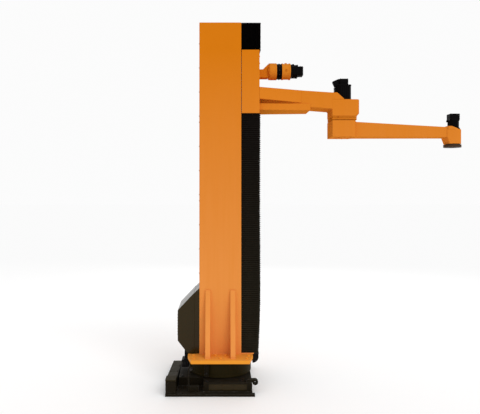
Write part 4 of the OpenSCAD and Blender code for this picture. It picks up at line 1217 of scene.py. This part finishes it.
def wrist():
    """Wrist housing: a D-shaped outline at growing heights, its back leaning out over the lower part.
    On its deck stand the motor's pad, a rear wall and two sloping cheeks."""
    back, _, z0, front, half, top = span("wrist_housing")
    x0, y0, seat, x1, y1, _ = span("wrist_motor")
    lean, lean_top = 0.022, span("forearm_beam")[2]
    deck = seat - 0.002
    radii = [0.004, half - 0.002, half - 0.002, 0.004]
    levels = ((lean, 0.002, z0), (lean - 0.001, 0, z0 + 0.002), (0, 0, lean_top), (0, 0, deck - 0.001),
              (0, 0.0008, deck))
    rows = [(rectangle(back + step, front, -half, half), radii, inset, z) for step, inset, z in levels]
    pad = slab((x0 - 0.004, y0 - 0.004, deck - 0.001), (x1 + 0.004, y1 + 0.004, seat), "z", 0.008, 0.0008)
    wall = slab((back, -half, deck - 0.002), (back + 0.01, half, top), "z", 0.0035, 0.0015)
    cheeks = mirrored(wrist_cheek(back, deck, top, half))
    stand_in("wrist_shell", join(loft(rows, "z", 12), pad, wall, cheeks), "wrist_housing")
    eased("tool_flange", 0.0015, FLANGE)
    beam_top, edge = lean_top + TIP_HEIGHT, TIP_HALF - 0.002
    seams = [mirrored(bead((back, -TIP_HALF, lean_top + 0.004), (back, -TIP_HALF, beam_top), 0.0035)),
             bead((back, -edge, beam_top), (back, edge, beam_top), 0.0035)]
    piece("wrist_seams", join(*seams), "forearm")


# -------- stage


def stage():
    """Camera, lights, world and a plain pale floor."""
    camera = linked("camera", bpy.data.cameras.new("camera"))
    camera.location = (0.0, -5.0, 1.69)
    camera.rotation_euler = (math.radians(90), 0, 0)
    camera.data.lens = 42.0
    camera.data.sensor_width = 36.0
    camera.data.shift_x = 0.041
    camera.data.shift_y = -0.0354
    camera.data.clip_end = 200
    SCENE.camera = camera
    floor_mesh = bpy.data.meshes.new("floor")
    size = 60.0
    floor_mesh.from_pydata([(x, y, 0) for x, y in rectangle(-size, size, -size, size)], [], [(0, 1, 2, 3)])
    floor = linked("floor", floor_mesh)
    pale, tree, shader = blank("pale floor")
    connect(tree, shader, [("Base Color", (0.98, 0.98, 0.98, 1)), ("Roughness", 1.0),
                           ("Specular IOR Level", 0.0)])
    floor_mesh.materials.append(pale)
    for name, kind, spot, power in (("sun", "SUN", (2.2, -3.4, 4.6), 1.0),
                                    ("back", "AREA", (1.0, 5.0, 4.5), 60)):
        light = linked(name, bpy.data.lights.new(name, kind))
        light.location = spot
        aim = np.array([0.3, 0, 1.4]) - np.array(spot)
        light.rotation_euler = (math.acos(-aim[2] / np.linalg.norm(aim)), 0, math.atan2(-aim[0], aim[1]))
        light.data.energy = power
    bpy.data.lights["sun"].angle = math.radians(40)
    bpy.data.lights["back"].size = 4.0
    world = bpy.data.worlds.new("studio")
    SCENE.world = world
    world.use_nodes = True
    tree = world.node_tree
    seen = add(tree, "ShaderNodeLightPath", output="Is Camera Ray")
    connect(tree, tree.nodes["Background"], [(0, (1, 1, 1, 1)), (1, seen * 0.19 + 0.78)])
    SCENE.view_settings.view_transform = "Standard"


def finish_cad_nodes():
    """Every CAD node gets its slot's finish."""
    for name, obj in frame["nodes"].items():
        obj.data.materials.clear()
        obj.data.materials.append(SLOT_MATERIAL[slot_of[name]])


stage()
finish_cad_nodes()
base()
connection_block()
proximity_switch()
slewing_skirt()
column_foot()
column()
drive_cover()
slewing_gear_unit()
bellows()
bellows_ends()
carriage()
upper_arm()
elbow()
lift_drive()
motors()
forearm()
wrist()
